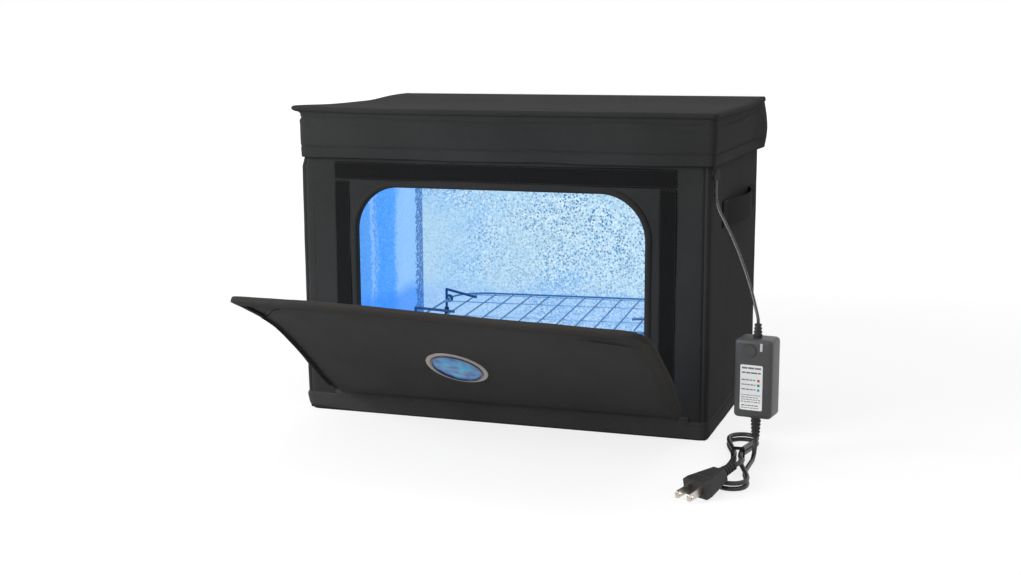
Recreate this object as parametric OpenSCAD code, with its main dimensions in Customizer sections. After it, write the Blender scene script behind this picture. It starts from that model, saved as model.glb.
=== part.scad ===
// Folding fabric box that disinfects phones and small things with ultraviolet light.
// Stiff boards sit between a woven outer cover and a foil lining. The lid lifts at the
// back, the front flap drops at its lower edge, and a wire rack stands inside.
// Frame: millimetres, +X to the right, +Y to the back, +Z up, origin under the body's centre.

/* [Body] */
// Width of the body across its side covers
body_w = 400; // [380:1:440]
// Depth of the body across its front and back covers
body_d = 250; // [244:1:290]
// Height of the body up to its rim binding
body_h = 295; // [288:1:330]
// Thickness of the woven outer cover
cover_t = 1.2; // [0.8:0.1:1.6]
// Thickness of the stiffening boards
board_t = 2.4; // [1.6:0.1:3]
// Thickness of the foil lining
lining_t = 0.6; // [0.4:0.1:1]
// Radius of the upright corners
corner_r = 5; // [4.5:0.5:8]
// Height of the stitched band round the foot
hem_h = 16; // [10:1:18]
// Thickness of the stitched band
hem_t = 1.2; // [0.8:0.1:1.6]
// Height of the band above the table
hem_lift = 1; // [0.6:0.1:2]

/* [Window] */
// Width of the window opening
window_w = 287; // [240:1:287]
// How far the window sits to the left of the middle
window_x = -3; // [-4:0.5:0]
// Height of the window's lower edge
window_z0 = 54; // [40:1:70]
// Height of the window's upper edge
window_z1 = 225; // [200:1:228]
// Corner radius of the window
window_r = 43; // [20:1:60]
// Width of the binding round the window
binding_w = 6; // [4:0.5:6]
// Thickness of the binding
binding_t = 1; // [0.6:0.1:1.4]

/* [Hook and loop] */
// Width of the upper loop strip
loop_top_w = 18; // [12:1:19]
// Width of the two side loop strips
loop_side_w = 17; // [12:1:20]
// Distance between the outer edges of the side strips
loop_span = 340; // [330:1:350]
// Height of the lower ends of the side strips
loop_z0 = 48; // [44:1:60]
// Thickness of the loop strips
loop_t = 1.2; // [0.8:0.1:1.4]
// Thickness of the hook strips on the flap
hook_t = 1.2; // [0.8:0.1:1.4]

/* [Lid] */
// Height of the lid's skirt
skirt_h = 48; // [40:1:50]
// Gap between the skirt and the body
skirt_gap = 2.4; // [1.6:0.1:3]
// Thickness of the skirt
skirt_t = 1.6; // [1:0.1:2]
// Height of the skirt's folded hem
skirt_hem_h = 10; // [6:1:14]
// Thickness that the folded hem adds outside
skirt_hem_t = 0.6; // [0.4:0.1:1]
// Radius of the corded lip round the lid's top
lip_r = 2.4; // [1.8:0.1:3]
// Gap between the rim and the lid's lining
lid_gap = 0.8; // [0.3:0.1:1.2]

/* [Flap] */
// Width of the flap
flap_w = 360; // [352:1:370]
// How far the flap hangs to the right of the middle
flap_x = 5; // [0:0.5:5]
// Length of the flap from its hinge line to its free edge
flap_l = 220; // [216:1:223]
// Height of the flap's hinge line
flap_z = 22; // [20:1:24]
// How far the flap stands open from closed, in degrees
flap_open = 57; // [40:1:70]
// Corner radius at the right end of the flap's free edge
flap_r = 20; // [8:1:30]
// Corner radius at the left end of the free edge, left nearly square
flap_left_r = 5; // [3:1:20]
// Corner radius beside the hinge line
flap_foot_r = 12; // [6:1:20]
// Width of the binding round the flap
flap_binding_w = 8; // [5:0.5:12]
// Width of the oval badge
badge_w = 56; // [40:1:70]
// Height of the oval badge
badge_h = 70; // [40:1:80]
// Width of the badge's metal rim
badge_rim = 5; // [2:0.5:8]
// Badge centre, to the left of the middle
badge_x = -14; // [-40:1:40]
// Badge centre, above the hinge line
badge_v = 103; // [70:1:120]

/* [Rack] */
// Length of the wire rack
rack_l = 252; // [220:1:280]
// Depth of the wire rack
rack_d = 190; // [170:1:196]
// Height of the rim wire above the table
rack_z = 85; // [60:1:90]
// Corner radius of the rack
rack_r = 36; // [24:1:36]
// Radius of the rim and leg wires
rim_wire_r = 1.4; // [1.2:0.1:1.6]
// Radius of the cross wires
cross_wire_r = 0.9; // [0.7:0.1:1.1]
// Distance from one cross wire to the next
cross_pitch = 20; // [14:1:28]
// How far the rack stands turned on the floor, in degrees
rack_turn = 5; // [0:1:6]
// Distance between the two uprights of a leg
leg_span = 112; // [86:1:112]
// How high the leg's hooked ends stand above the rim
leg_hook_h = 10; // [8:1:14]
// Length of the leg's hooked ends over the rack
leg_hook_l = 40; // [24:1:48]
// Running clearance of the leg rings round the rim
ring_gap = 0.3; // [0.2:0.05:0.5]

/* [Lamp] */
// Length of the lamp's reflector channel
channel_l = 250; // [200:1:270]
// Height of the channel
channel_h = 30; // [24:1:36]
// Sheet thickness of the channel
channel_t = 1; // [0.8:0.1:1.5]
// Depth of the channel
channel_d = 9; // [7:1:12]
// Distance of the lamp's centre line below the rim
lamp_drop = 39; // [33:1:45]
// Radius of the lamp tube
tube_r = 4; // [3:0.25:5]
// Length of the lamp tube between its caps
tube_l = 200; // [160:1:220]
// Distance of the tube's axis from the lining
tube_off = 13; // [12:1:15]
// Length of the lamp driver's case
driver_l = 46; // [36:1:48]
// Height of the lamp driver's case
driver_h = 24; // [18:1:28]
// Depth of the lamp driver's case
driver_d = 15; // [12:1:18]

/* [Handles] */
// Length of a handle between the outer ends of its straps
handle_l = 168; // [140:1:190]
// Width of the webbing
webbing_w = 25; // [20:1:30]
// Thickness of the webbing
webbing_t = 1.6; // [1.2:0.1:2.2]
// How far a handle stands out from the wall
handle_out = 11; // [8:1:14]
// Length of the stitched end of a handle
handle_end = 24; // [18:1:30]
// Height of a handle's centre
handle_z = 203; // [150:1:215]
// Distance of a handle's centre behind the middle
handle_y = 14; // [-20:1:24]

/* [Adapter] */
// Width of the adapter's case
adapter_w = 34; // [32:0.5:44]
// Depth of the adapter's case
adapter_d = 26; // [25:0.5:32]
// Height of the adapter's case
adapter_h = 70; // [66:1:84]
// Wall of the adapter's case
adapter_wall = 1.8; // [1.4:0.1:2.2]
// Rounding of the case's edges
adapter_r = 2.6; // [2:0.1:3.4]
// Height of the case's lower end above the table
adapter_z = 39; // [39:1:44]
// Radius of the timer button
button_r = 5.4; // [4:0.1:6.5]
// Height of the timer button's centre above the case's lower end
button_z = 60; // [54:1:61]
// How far the timer button travels
button_travel = 0.8; // [0.5:0.1:0.9]
// Running clearance round the button
button_gap = 0.08; // [0.05:0.01:0.1]
// Width of the white label
label_w = 20; // [12:1:24]
// Height of the white label
label_h = 40; // [24:1:42]

/* [Cord] */
// Diameter of the low-voltage lead
lead_dia = 2.8; // [2.2:0.1:3]
// Diameter of the mains cord
mains_dia = 4; // [3.4:0.1:4.2]
// Least gap between the strands of the tied mains cord
strand_gap = 0.6; // [0.55:0.05:0.8]
// Length of the plug's moulded body
plug_l = 30; // [24:1:36]
// Width of the plug's moulded body
plug_w = 26; // [24:1:30]
// Thickness of the plug's moulded body
plug_t = 15; // [13:1:18]

/* [Hidden] */
$fn = 48;

wall_t = cover_t + board_t + lining_t;
half_w = body_w / 2;
half_d = body_d / 2;
rim_t = 1.2;
wall_top = body_h - rim_t;
floor_t = wall_t;
face_y = -half_d;
inner_x = half_w - wall_t;
inner_y = half_d - wall_t;
sleeve_w = window_w + 2 * binding_t;
window_h = window_z1 - window_z0;
window_mid = (window_z0 + window_z1) / 2;
loop_top_z0 = window_z1 + binding_w + 0.2;
loop_top_z1 = loop_top_z0 + loop_top_w;

// Charcoal weave, foil and mouldings
weave = [0.21, 0.21, 0.21];
weave_dark = [0.13, 0.13, 0.13];
foil = [0.45, 0.68, 0.98];
wire = [0.35, 0.5, 0.75];
mould = [0.25, 0.25, 0.26];

// Plan of a rectangle with round corners, centred on the origin
module round_rect(w, h, r) {
    square([w - 2 * r, h], center = true);
    square([w, h - 2 * r], center = true);
    for (x = [-1, 1], y = [-1, 1]) translate([x * (w / 2 - r), y * (h / 2 - r)]) circle(r = r);
}

// Extrudes a plan drawn in X and Z from y0 to y1
module upright(y0, y1) {
    translate([0, y1, 0]) rotate([90, 0, 0]) linear_extrude(y1 - y0) children();
}

module block(x0, x1, y0, y1, z0, z1) {
    translate([x0, y0, z0]) cube([x1 - x0, y1 - y0, z1 - z0]);
}

module window_plan(grow) {
    translate([window_x, window_mid])
        round_rect(window_w + 2 * grow, window_h + 2 * grow, window_r + grow);
}

// The outer cover: one woven skin, sewn from four sides and a bottom

module cover_shell() {
    difference() {
        round_rect(body_w, body_d, corner_r);
        round_rect(body_w - 2 * cover_t, body_d - 2 * cover_t, corner_r - cover_t);
    }
}

module cover_side(x0, x1, y0, y1) {
    translate([0, 0, cover_t]) linear_extrude(wall_top - cover_t) intersection() {
        cover_shell();
        translate([x0, y0]) square([x1 - x0, y1 - y0]);
    }
}

module cover_front() {
    color(weave) difference() {
        cover_side(-half_w + corner_r, half_w - corner_r, -half_d, -half_d + cover_t);
        upright(face_y - 1, face_y + wall_t) window_plan(binding_t);
    }
}

module cover_back() {
    color(weave)
        cover_side(-half_w + corner_r, half_w - corner_r, half_d - cover_t, half_d);
}

module cover_left() {
    color(weave) cover_side(-half_w, -half_w + corner_r, -half_d, half_d);
}

grommet_y = -half_d + 8;
grommet_z = body_h - 48;
grommet_bore_r = 2.6;

// Hole through the right wall for the lead's grommet
module grommet_hole() {
    translate([inner_x - 1, grommet_y, grommet_z]) rotate([0, 90, 0])
        cylinder(r = grommet_bore_r, h = wall_t + 2);
}

module cover_right() {
    color(weave) difference() {
        cover_side(half_w - corner_r, half_w, -half_d, half_d);
        grommet_hole();
    }
}

module cover_bottom() {
    color(weave_dark) linear_extrude(cover_t) round_rect(body_w, body_d, corner_r);
}

// Stiffening boards, each short of the corners so that the walls can fold

board_z0 = cover_t + board_t;

module board_front() {
    color("dimgray") difference() {
        block(-half_w + corner_r, half_w - corner_r, face_y + cover_t,
            face_y + cover_t + board_t, board_z0, wall_top);
        upright(face_y, face_y + wall_t) window_plan(binding_t);
    }
}

module board_back() {
    color("dimgray") block(-half_w + corner_r, half_w - corner_r,
        half_d - cover_t - board_t, half_d - cover_t, board_z0, wall_top);
}

module board_side(side) {
    x0 = side > 0 ? half_w - cover_t - board_t : -half_w + cover_t;
    block(x0, x0 + board_t, -half_d + corner_r, half_d - corner_r, board_z0, wall_top);
}

module board_left() {
    color("dimgray") board_side(-1);
}

module board_right() {
    color("dimgray") difference() {
        board_side(1);
        grommet_hole();
    }
}

module board_bottom() {
    color("dimgray") translate([0, 0, cover_t]) linear_extrude(board_t)
        round_rect(body_w - 2 * cover_t, body_d - 2 * cover_t, corner_r - cover_t);
}

// Foil lining, one sheet to a wall

lining_z0 = floor_t;

module lining_front() {
    color(foil) difference() {
        block(-inner_x, inner_x, -inner_y - lining_t, -inner_y, lining_z0, wall_top);
        upright(face_y, face_y + wall_t + 1) window_plan(binding_t);
    }
}

module lining_back() {
    color(foil) block(-inner_x, inner_x, inner_y, inner_y + lining_t, lining_z0, wall_top);
}

module lining_side(side) {
    x0 = side > 0 ? inner_x : -inner_x - lining_t;
    block(x0, x0 + lining_t, -inner_y, inner_y, lining_z0, wall_top);
}

module lining_left() {
    color(foil) lining_side(-1);
}

module lining_right() {
    color(foil) difference() {
        lining_side(1);
        grommet_hole();
    }
}

module lining_bottom() {
    color(foil) block(-inner_x - lining_t, inner_x + lining_t, -inner_y - lining_t,
        inner_y + lining_t, floor_t - lining_t, floor_t);
}

// Bindings and bands

module rim_binding() {
    color(weave_dark) translate([0, 0, wall_top]) linear_extrude(rim_t) difference() {
        round_rect(body_w, body_d, corner_r);
        round_rect(body_w - 2 * wall_t, body_d - 2 * wall_t, 1);
    }
}

// Frame on the face and a sleeve through the wall
module window_binding() {
    color(weave_dark) {
        upright(face_y - binding_t, face_y) difference() {
            window_plan(binding_w);
            window_plan(0);
        }
        upright(face_y, face_y + wall_t) difference() {
            window_plan(binding_t);
            window_plan(0);
        }
    }
}

// Band round the foot, with the welt that the flap's cloth hinge is sewn to
module hem_band() {
    color(weave_dark) {
        translate([0, 0, hem_lift]) linear_extrude(hem_h) difference() {
            round_rect(body_w + 2 * hem_t, body_d + 2 * hem_t, corner_r + hem_t);
            round_rect(body_w, body_d, corner_r);
        }
        block(flap_x - flap_w / 2, flap_x + flap_w / 2, flap_axis_y + welt_gap, face_y,
            flap_z - 9, flap_z);
    }
}

module loop_strip_top() {
    color("black") block(-loop_span / 2, loop_span / 2, face_y - loop_t, face_y,
        loop_top_z0, loop_top_z1);
}

module loop_strip_side(side) {
    x0 = side > 0 ? loop_span / 2 - loop_side_w : -loop_span / 2;
    block(x0, x0 + loop_side_w, face_y - loop_t, face_y, loop_z0, loop_top_z0);
}

module loop_strips_side() {
    color("black") for (side = [-1, 1]) loop_strip_side(side);
}

// Webbing handles: flat ends sewn to the wall and a bowed middle to take hold of

handle_bow = handle_l - 2 * handle_end;
bow_chord = handle_bow / 2;
bow_rise = handle_out - webbing_t;
bow_r = (bow_chord * bow_chord + bow_rise * bow_rise) / (2 * bow_rise);

// Plan of one handle on the right wall, in X and Y about its own centre
module handle_plan() {
    for (end = [-1, 1])
        translate([webbing_t / 2, end * (handle_l - handle_end) / 2])
            square([webbing_t, handle_end], center = true);
    intersection() {
        translate([bow_rise - bow_r, 0]) difference() {
            circle(r = bow_r + webbing_t, $fn = 180);
            circle(r = bow_r, $fn = 180);
        }
        translate([0, -bow_chord]) square([handle_out + 1, 2 * bow_chord]);
    }
}

module handle(side) {
    translate([side * half_w, handle_y, handle_z - webbing_w / 2]) mirror([side < 0 ? 1 : 0, 0, 0])
        linear_extrude(webbing_w) handle_plan();
}

module handle_left() {
    color(weave_dark) handle(-1);
}

module handle_right() {
    color(weave_dark) handle(1);
}

// Ultraviolet lamp high on the back wall, with its driver and the lead that feeds it

lamp_x = -22;
lamp_z = body_h - lamp_drop;
cap_l = 12;
cap_r = tube_r + 1;
holder_w = 9;
holder_d = tube_off + tube_r + 3;
holder_h = 18;
tube_y = inner_y - tube_off;
// The tube's axis stands inside each holder's fork by this much
cap_gap = 0.05;

module lamp_channel() {
    color("silver") {
        block(lamp_x - channel_l / 2, lamp_x + channel_l / 2, inner_y - channel_t, inner_y,
            lamp_z - channel_h / 2, lamp_z + channel_h / 2);
        for (side = [-1, 1]) {
            z0 = lamp_z + side * (channel_h / 2) - (side > 0 ? channel_t : 0);
            block(lamp_x - channel_l / 2, lamp_x + channel_l / 2, inner_y - channel_d,
                inner_y - channel_t, z0, z0 + channel_t);
        }
    }
}

module lamp_holders() {
    color("white") for (side = [-1, 1])
        translate([lamp_x + side * (tube_l / 2 + cap_l / 2), 0, 0]) difference() {
            block(-holder_w / 2, holder_w / 2, inner_y - channel_t - holder_d,
                inner_y - channel_t, lamp_z - holder_h / 2, lamp_z + holder_h / 2);
            translate([0, tube_y, lamp_z]) rotate([0, 90, 0])
                cylinder(r = cap_r + cap_gap, h = holder_w + 2, center = true);
            // Mouth that the cap snaps in through
            block(-holder_w / 2 - 1, holder_w / 2 + 1, tube_y - holder_d, tube_y,
                lamp_z - cap_r * 0.8, lamp_z + cap_r * 0.8);
        }
}

module lamp_tube() {
    color([0.6, 0.75, 1, 0.6]) translate([lamp_x, tube_y, lamp_z]) rotate([0, 90, 0])
        cylinder(r = tube_r, h = tube_l, center = true);
}

module lamp_caps() {
    color("gainsboro") for (side = [-1, 1])
        translate([lamp_x + side * (tube_l / 2 + cap_l / 2), tube_y, lamp_z])
            rotate([0, 90, 0]) {
                cylinder(r = cap_r, h = cap_l, center = true);
                // Contact pins at the outer end
                for (pin = [-1, 1]) translate([0, pin * cap_r / 2, side > 0 ? cap_l / 2 : -cap_l / 2 - 3])
                    cylinder(r = 0.7, h = 3);
            }
}

driver_x0 = lamp_x + channel_l / 2 + 8;

module lamp_driver() {
    color("white") difference() {
        block(driver_x0, driver_x0 + driver_l, inner_y - driver_d, inner_y,
            lamp_z - driver_h / 2, lamp_z + driver_h / 2);
        // Cooling slots in the front
        for (i = [-2 : 2])
            block(driver_x0 + 8, driver_x0 + driver_l - 8, inner_y - driver_d - 1,
                inner_y - driver_d + 1.2, lamp_z + i * 3.6 - 0.6, lamp_z + i * 3.6 + 0.6);
    }
}

inner_lead_r = 1.3;
inner_lead_x = inner_x - inner_lead_r - 0.2;
inner_lead_y = inner_y - driver_d / 2;
lead_bend = 8;

// A quarter bend of the inner lead, from -X to -Y seen from above
module lead_corner() {
    rotate_extrude(angle = 90, $fn = 96) translate([lead_bend, 0]) circle(r = inner_lead_r, $fn = 16);
}

// Lead from the driver along the right wall to the grommet, held by two clips
module inner_lead() {
    run_y0 = grommet_y + lead_bend;
    run_y1 = inner_lead_y - lead_bend;
    color("gainsboro") {
        translate([driver_x0 + driver_l, inner_lead_y, grommet_z]) rotate([0, 90, 0])
            cylinder(r = inner_lead_r, h = inner_lead_x - lead_bend - driver_x0 - driver_l, $fn = 16);
        translate([inner_lead_x - lead_bend, inner_lead_y - lead_bend, grommet_z]) lead_corner();
        translate([inner_lead_x, run_y1, grommet_z]) rotate([90, 0, 0])
            cylinder(r = inner_lead_r, h = run_y1 - run_y0, $fn = 16);
    }
}

// Rubber elbow in the wall: bush, flange and a hood that turns the lead downwards

hood_r = 2.8;
hood_x = half_w + hood_r + 0.2;
hood_end_z = grommet_z - 7;

module cable_grommet() {
    color([0.1, 0.1, 0.1]) {
        translate([inner_x - 1.5, grommet_y, grommet_z]) rotate([0, 90, 0])
            cylinder(r = grommet_bore_r - 0.1, h = hood_x - inner_x + 1.5);
        translate([half_w, grommet_y, grommet_z]) rotate([0, 90, 0]) cylinder(r = 4.5, h = 1.2);
        translate([inner_x - 1.5, grommet_y, grommet_z]) rotate([0, 90, 0]) cylinder(r = 3.6, h = 1.5);
        translate([hood_x, grommet_y, hood_end_z]) cylinder(r = hood_r, h = grommet_z - hood_end_z);
        translate([hood_x, grommet_y, grommet_z]) sphere(r = hood_r);
    }
}

// Sweeps a round tube along points. The rings stand square to the route, with their
// first corner towards the guide direction, and the ends take the given directions.

function unit(v) = v / norm(v);
function tangents(p, t0, t1) = [for (i = [0 : len(p) - 1])
    i == 0 ? unit(t0) : i == len(p) - 1 ? unit(t1) : unit(p[i + 1] - p[i - 1])];
function ring(c, t, r, sides, guide) =
    let (a = unit(guide - (guide * t) * t), b = cross(t, a))
    [for (k = [0 : sides - 1]) c + r * (cos(360 * k / sides) * a + sin(360 * k / sides) * b)];
function flat(lists) = [for (l = lists) for (v = l) v];

module sweep(p, r, sides, guide, t0, t1) {
    t = tangents(p, t0, t1);
    n = len(p);
    rings = flat([for (i = [0 : n - 1]) ring(p[i], t[i], r, sides, guide)]);
    sides_faces = flat([for (i = [0 : n - 2]) flat([for (k = [0 : sides - 1])
        let (a = i * sides + k, b = i * sides + (k + 1) % sides)
        [[a, b, b + sides], [a, b + sides, a + sides]]])]);
    caps = [[for (k = [sides - 1 : -1 : 0]) k], [for (k = [0 : sides - 1]) (n - 1) * sides + k]];
    polyhedron(rings, concat(sides_faces, caps));
}

// Shape of the low-voltage lead for a box 400 wide, 250 deep and 295 high
lead_shape = [
    [203, -117, 240], [203, -117, 234], [203.2, -117.1, 226.6], [204.5, -118.1, 219.2],
    [207.4, -120.4, 212.4], [211.4, -123.6, 206], [216, -127.4, 199], [221, -132, 191.4],
    [226, -137, 183], [231, -142, 174.2], [235.6, -146.8, 165], [240, -151.4, 155.6],
    [244, -155.8, 146], [247, -159.4, 137.8], [249.4, -162.4, 131], [250.8, -164.2, 126.8],
    [251.4, -164.9, 124.2], [251.5, -165, 121],
];

adapter_x = half_w + 51.5;
adapter_y = -half_d - 40;
adapter_turn = -8;
lead_relief_l = 12;
// The shape stretched to run from the grommet's hood to the adapter's upper relief
lead_from = [hood_x, grommet_y, hood_end_z];
lead_to = [adapter_x, adapter_y, adapter_z + adapter_h + lead_relief_l];
lead_first = lead_shape[0];
lead_last = lead_shape[len(lead_shape) - 1];
lead_route = [for (p = lead_shape) [for (k = [0 : 2])
    lead_from[k] + (p[k] - lead_first[k]) * (lead_to[k] - lead_from[k]) / (lead_last[k] - lead_first[k])]];

module lead_cable() {
    color([0.2, 0.2, 0.2])
        sweep(lead_route, lead_dia / 2, 8, [1, 0, 0], [0, 0, -1], [0, 0, -1]);
}

module adapter_place() {
    translate([adapter_x, adapter_y, adapter_z]) rotate([0, 0, adapter_turn]) children();
}

// Ribbed and tapered sleeve that stands on a case, from z = -root up to z = length
module strain_relief(length, r0, r1, root, ribs) {
    translate([0, 0, -root]) cylinder(r = r0 + 0.8, h = root);
    cylinder(r1 = r0, r2 = r1, h = length);
    for (i = [0 : ribs - 1]) {
        z = (i + 0.35) * length / ribs;
        r = r0 + (r1 - r0) * z / length;
        translate([0, 0, z]) cylinder(r = r + 0.7, h = length / ribs * 0.45);
    }
}

relief_root = 3;

module lead_relief() {
    color(mould) adapter_place() translate([0, 0, adapter_h])
        strain_relief(lead_relief_l, 3.4, lead_dia / 2 + 0.9, relief_root, 4);
}

// The adapter: two shells with a seam, a circuit board, a timer button and a light

seam_y = 1;
front_y = -adapter_d / 2;
inner_front_y = front_y + adapter_wall;
pcb_t = 1.6;
pcb_y = -1.6;
button_x = -2.7;
flange_t = 1;
pipe_x = 7.2;
pipe_z = button_z + 3.6;
pipe_w = 2.2;
pipe_h = 7;
label_x = -0.9;
label_z = 27.5;
label_t = 0.3;

// Block rounded on all its edges, standing on z = 0
module case_block() {
    intersection() {
        linear_extrude(adapter_h) round_rect(adapter_w, adapter_d, adapter_r);
        translate([0, 0, adapter_h / 2]) rotate([90, 0, 0])
            linear_extrude(adapter_d, center = true)
                round_rect(adapter_w, adapter_h, adapter_r);
        translate([0, 0, adapter_h / 2]) rotate([90, 0, 90])
            linear_extrude(adapter_w, center = true)
                round_rect(adapter_d, adapter_h, adapter_r);
    }
}

module case_cavity() {
    translate([0, 0, adapter_h / 2]) cube([adapter_w - 2 * adapter_wall,
        adapter_d - 2 * adapter_wall, adapter_h - 2 * adapter_wall], center = true);
}

// Round openings in the two ends for the strain reliefs
module relief_holes() {
    translate([0, 0, -1]) cylinder(r = mains_relief_r + 0.9, h = relief_root + 1);
    translate([0, 0, adapter_h - relief_root]) cylinder(r = 3.4 + 0.9, h = relief_root + 1);
}

mains_relief_r = 4;

module adapter_front() {
    color(mould) adapter_place() difference() {
        intersection() {
            case_block();
            translate([-adapter_w, -adapter_d, -1]) cube([2 * adapter_w, adapter_d + seam_y, adapter_h + 2]);
        }
        case_cavity();
        relief_holes();
        translate([button_x, front_y - 1, button_z]) rotate([-90, 0, 0])
            cylinder(r = button_r + button_gap, h = adapter_wall + 2);
        translate([pipe_x - pipe_w / 2, front_y - 1, pipe_z - pipe_h / 2])
            cube([pipe_w, adapter_wall + 2, pipe_h]);
    }
}

module adapter_back() {
    color(mould) adapter_place() difference() {
        intersection() {
            case_block();
            union() {
                translate([-adapter_w, seam_y + 0.6, -1])
                    cube([2 * adapter_w, adapter_d, adapter_h + 2]);
                translate([-adapter_w / 2 + 0.5, seam_y, 0.5])
                    cube([adapter_w - 1, 1, adapter_h - 1]);
            }
        }
        case_cavity();
        relief_holes();
    }
}

// Board with the switch under the button and the transformer behind it
module adapter_board() {
    pcb_w = adapter_w - 2 * adapter_wall - 0.4;
    color("darkgreen") adapter_place() {
        translate([-pcb_w / 2, pcb_y, relief_root + 2])
            cube([pcb_w, pcb_t, adapter_h - 2 * relief_root - 4]);
        translate([button_x - 3, pcb_y - 3.4, button_z - 3]) cube([6, 3.4, 6]);
        translate([pipe_x - 1.2, pcb_y - 1, pipe_z - 2.5]) cube([2.4, 1, 5]);
        translate([-9, pcb_y + pcb_t, 20]) cube([18, 9.5, 22]);
        translate([-6, pcb_y + pcb_t + 4.6, 52]) rotate([90, 0, 0]) cylinder(r = 4.5, h = 4.6);
    }
}

module light_pipe() {
    color("azure") adapter_place()
        translate([pipe_x - pipe_w / 2 + 0.05, front_y, pipe_z - pipe_h / 2 + 0.05])
            cube([pipe_w - 0.1, pcb_y - 1 - front_y, pipe_h - 0.1]);
}

module timer_label() {
    color("white") adapter_place()
        translate([label_x, front_y, label_z]) rotate([90, 0, 0]) linear_extrude(label_t)
            round_rect(label_w, label_h, 1.2);
}

// Round key with a flange that keeps it in the case and a stem over the switch
module timer_button() {
    stem_l = pcb_y - 3.4 - button_travel - 0.1 - (inner_front_y + 0.05 + flange_t);
    color([0.2, 0.2, 0.21]) adapter_place()
        translate([button_x, front_y - 0.7, button_z]) rotate([-90, 0, 0]) {
            cylinder(r = button_r, h = adapter_wall + 0.7 + 0.05 + flange_t);
            translate([0, 0, adapter_wall + 0.75]) cylinder(r = button_r + 1, h = flange_t);
            translate([0, 0, adapter_wall + 0.75 + flange_t]) cylinder(r = 1.8, h = stem_l);
        }
}

// Mains side: relief, a drop to the table, a tied hank and the lead to the plug

drop_z = 19.5;
relief_drop = adapter_z - drop_z;

module mains_relief() {
    color(mould) adapter_place() mirror([0, 0, 1])
        strain_relief(relief_drop, mains_relief_r, mains_dia / 2 + 0.8, relief_root, 6);
}

mains_r = 2;
hank_x = adapter_x - 11;
hank_y = adapter_y - 25;
hank_turn = 5.6;
hank_half = 76;
waist_half = 3;
belly = 28;
hank_start = 50;
hank_end = -630;
climb_from = 190;
climb_run = 100;
hank_steps = 46;
layer_rise = 2 * mains_r + strand_gap;
waist_lift = 1.2;

function smooth(s) = let (c = min(1, max(0, s))) c * c * (3 - 2 * c);
// Layers climbed at an angle: each turn climbs one layer along its right-hand run
function layers(a) = smooth((-a - climb_from) / climb_run)
    + smooth((-a - climb_from - 360) / climb_run);
function hank_u(a) = hank_half * cos(a);
function hank_v(a) = sin(a) * (waist_half + belly * cos(a) * cos(a));
function lift(u) = abs(u) < 30 ? waist_lift * pow(cos(3 * u), 2) : 0;
hank_ahead = [sin(hank_turn), -cos(hank_turn), 0];
hank_right = [cos(hank_turn), sin(hank_turn), 0];
function hank_point(a) = [hank_x, hank_y, mains_r + layer_rise * layers(a) + lift(hank_u(a))]
    + hank_u(a) * hank_ahead + hank_v(a) * hank_right;
function hank_tangent(a) = unit(hank_point(a - 0.5) - hank_point(a + 0.5));
hank_in = hank_tangent(hank_start);
hank_out = hank_tangent(hank_end);
hank_route = concat(
    [hank_point(hank_start) - 2 * mains_r * hank_in],
    [for (i = [0 : hank_steps])
        hank_point(hank_start + (hank_end - hank_start) * i / hank_steps)],
    [hank_point(hank_end) + 2 * mains_r * hank_out]);

// Routes drawn for an adapter at 251.5, -165, and moved with it
cord_shift = [adapter_x - 251.5, adapter_y + 165, 0];
drop_route = [for (p = [
    [251.5, -165, drop_z], [251.5, -165.2, 15.8], [251.5, -166.6, 11], [251.5, -170, 6.4],
    [251.5, -175, 3.2], [251.5, -181, 2], [251.4, -188, 2], [251.3, -196, 2], [251.3, -204, 2],
    [251.4, -212, 2], [252, -219, 2], [253.2, -226.4, 2],
]) p + cord_shift];
tail_route = [for (p = [
    [244.5, -200, 12.4], [245.6, -207, 12.9], [247.3, -214, 13.6],
    [249.3, -221, 14.9], [251.2, -228, 16.4], [252.4, -235, 18], [252.4, -241.4, 18.8],
    [250.6, -247, 18.2],
]) p + cord_shift];

module mains_drop() {
    color([0.12, 0.12, 0.12]) sweep(concat(drop_route, [hank_route[0]]), mains_r, 8, [1, 0, 0],
        [0, 0, -1], hank_in);
}

module mains_hank() {
    color([0.12, 0.12, 0.12]) sweep(hank_route, mains_r, 6, [0, 0, 1], hank_in, hank_out);
}

plug_x = adapter_x - 26;
plug_y = adapter_y - 125.5;
plug_turn = -30;
plug_pitch = 12;
plug_lift = 0.3;
plug_relief_l = 18;

module plug_place() {
    translate([plug_x, plug_y, plug_lift]) rotate([0, 0, plug_turn]) rotate([plug_pitch, 0, 0])
        children();
}

// Rear end of the plug's strain relief and the way it faces
relief_back = plug_l + plug_relief_l;
plug_back_y = relief_back * cos(plug_pitch) - plug_t / 2 * sin(plug_pitch);
plug_back_z = relief_back * sin(plug_pitch) + plug_t / 2 * cos(plug_pitch) + plug_lift;
plug_entry = [plug_x - plug_back_y * sin(plug_turn), plug_y + plug_back_y * cos(plug_turn),
    plug_back_z];
plug_heading = [sin(plug_turn) * cos(plug_pitch), -cos(plug_turn) * cos(plug_pitch),
    -sin(plug_pitch)];

module mains_tail() {
    color([0.12, 0.12, 0.12])
        sweep(concat([hank_route[len(hank_route) - 1]], tail_route, [plug_entry]),
            mains_r, 8, [0, 0, 1], hank_out, plug_heading);
}

// Band round the waist of the hank
module cord_tie() {
    tie_t = 0.8;
    tie_w = 2 * (waist_half + mains_r) + 0.6;
    tie_h = 3 * layer_rise;
    color("black") translate([hank_x, hank_y, tie_h / 2 + tie_t + 0.1])
        rotate([90, 0, hank_turn]) linear_extrude(8, center = true) difference() {
            round_rect(tie_w + 2 * tie_t, tie_h + 2 * tie_t, 1.8);
            round_rect(tie_w, tie_h, 1);
        }
}

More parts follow.
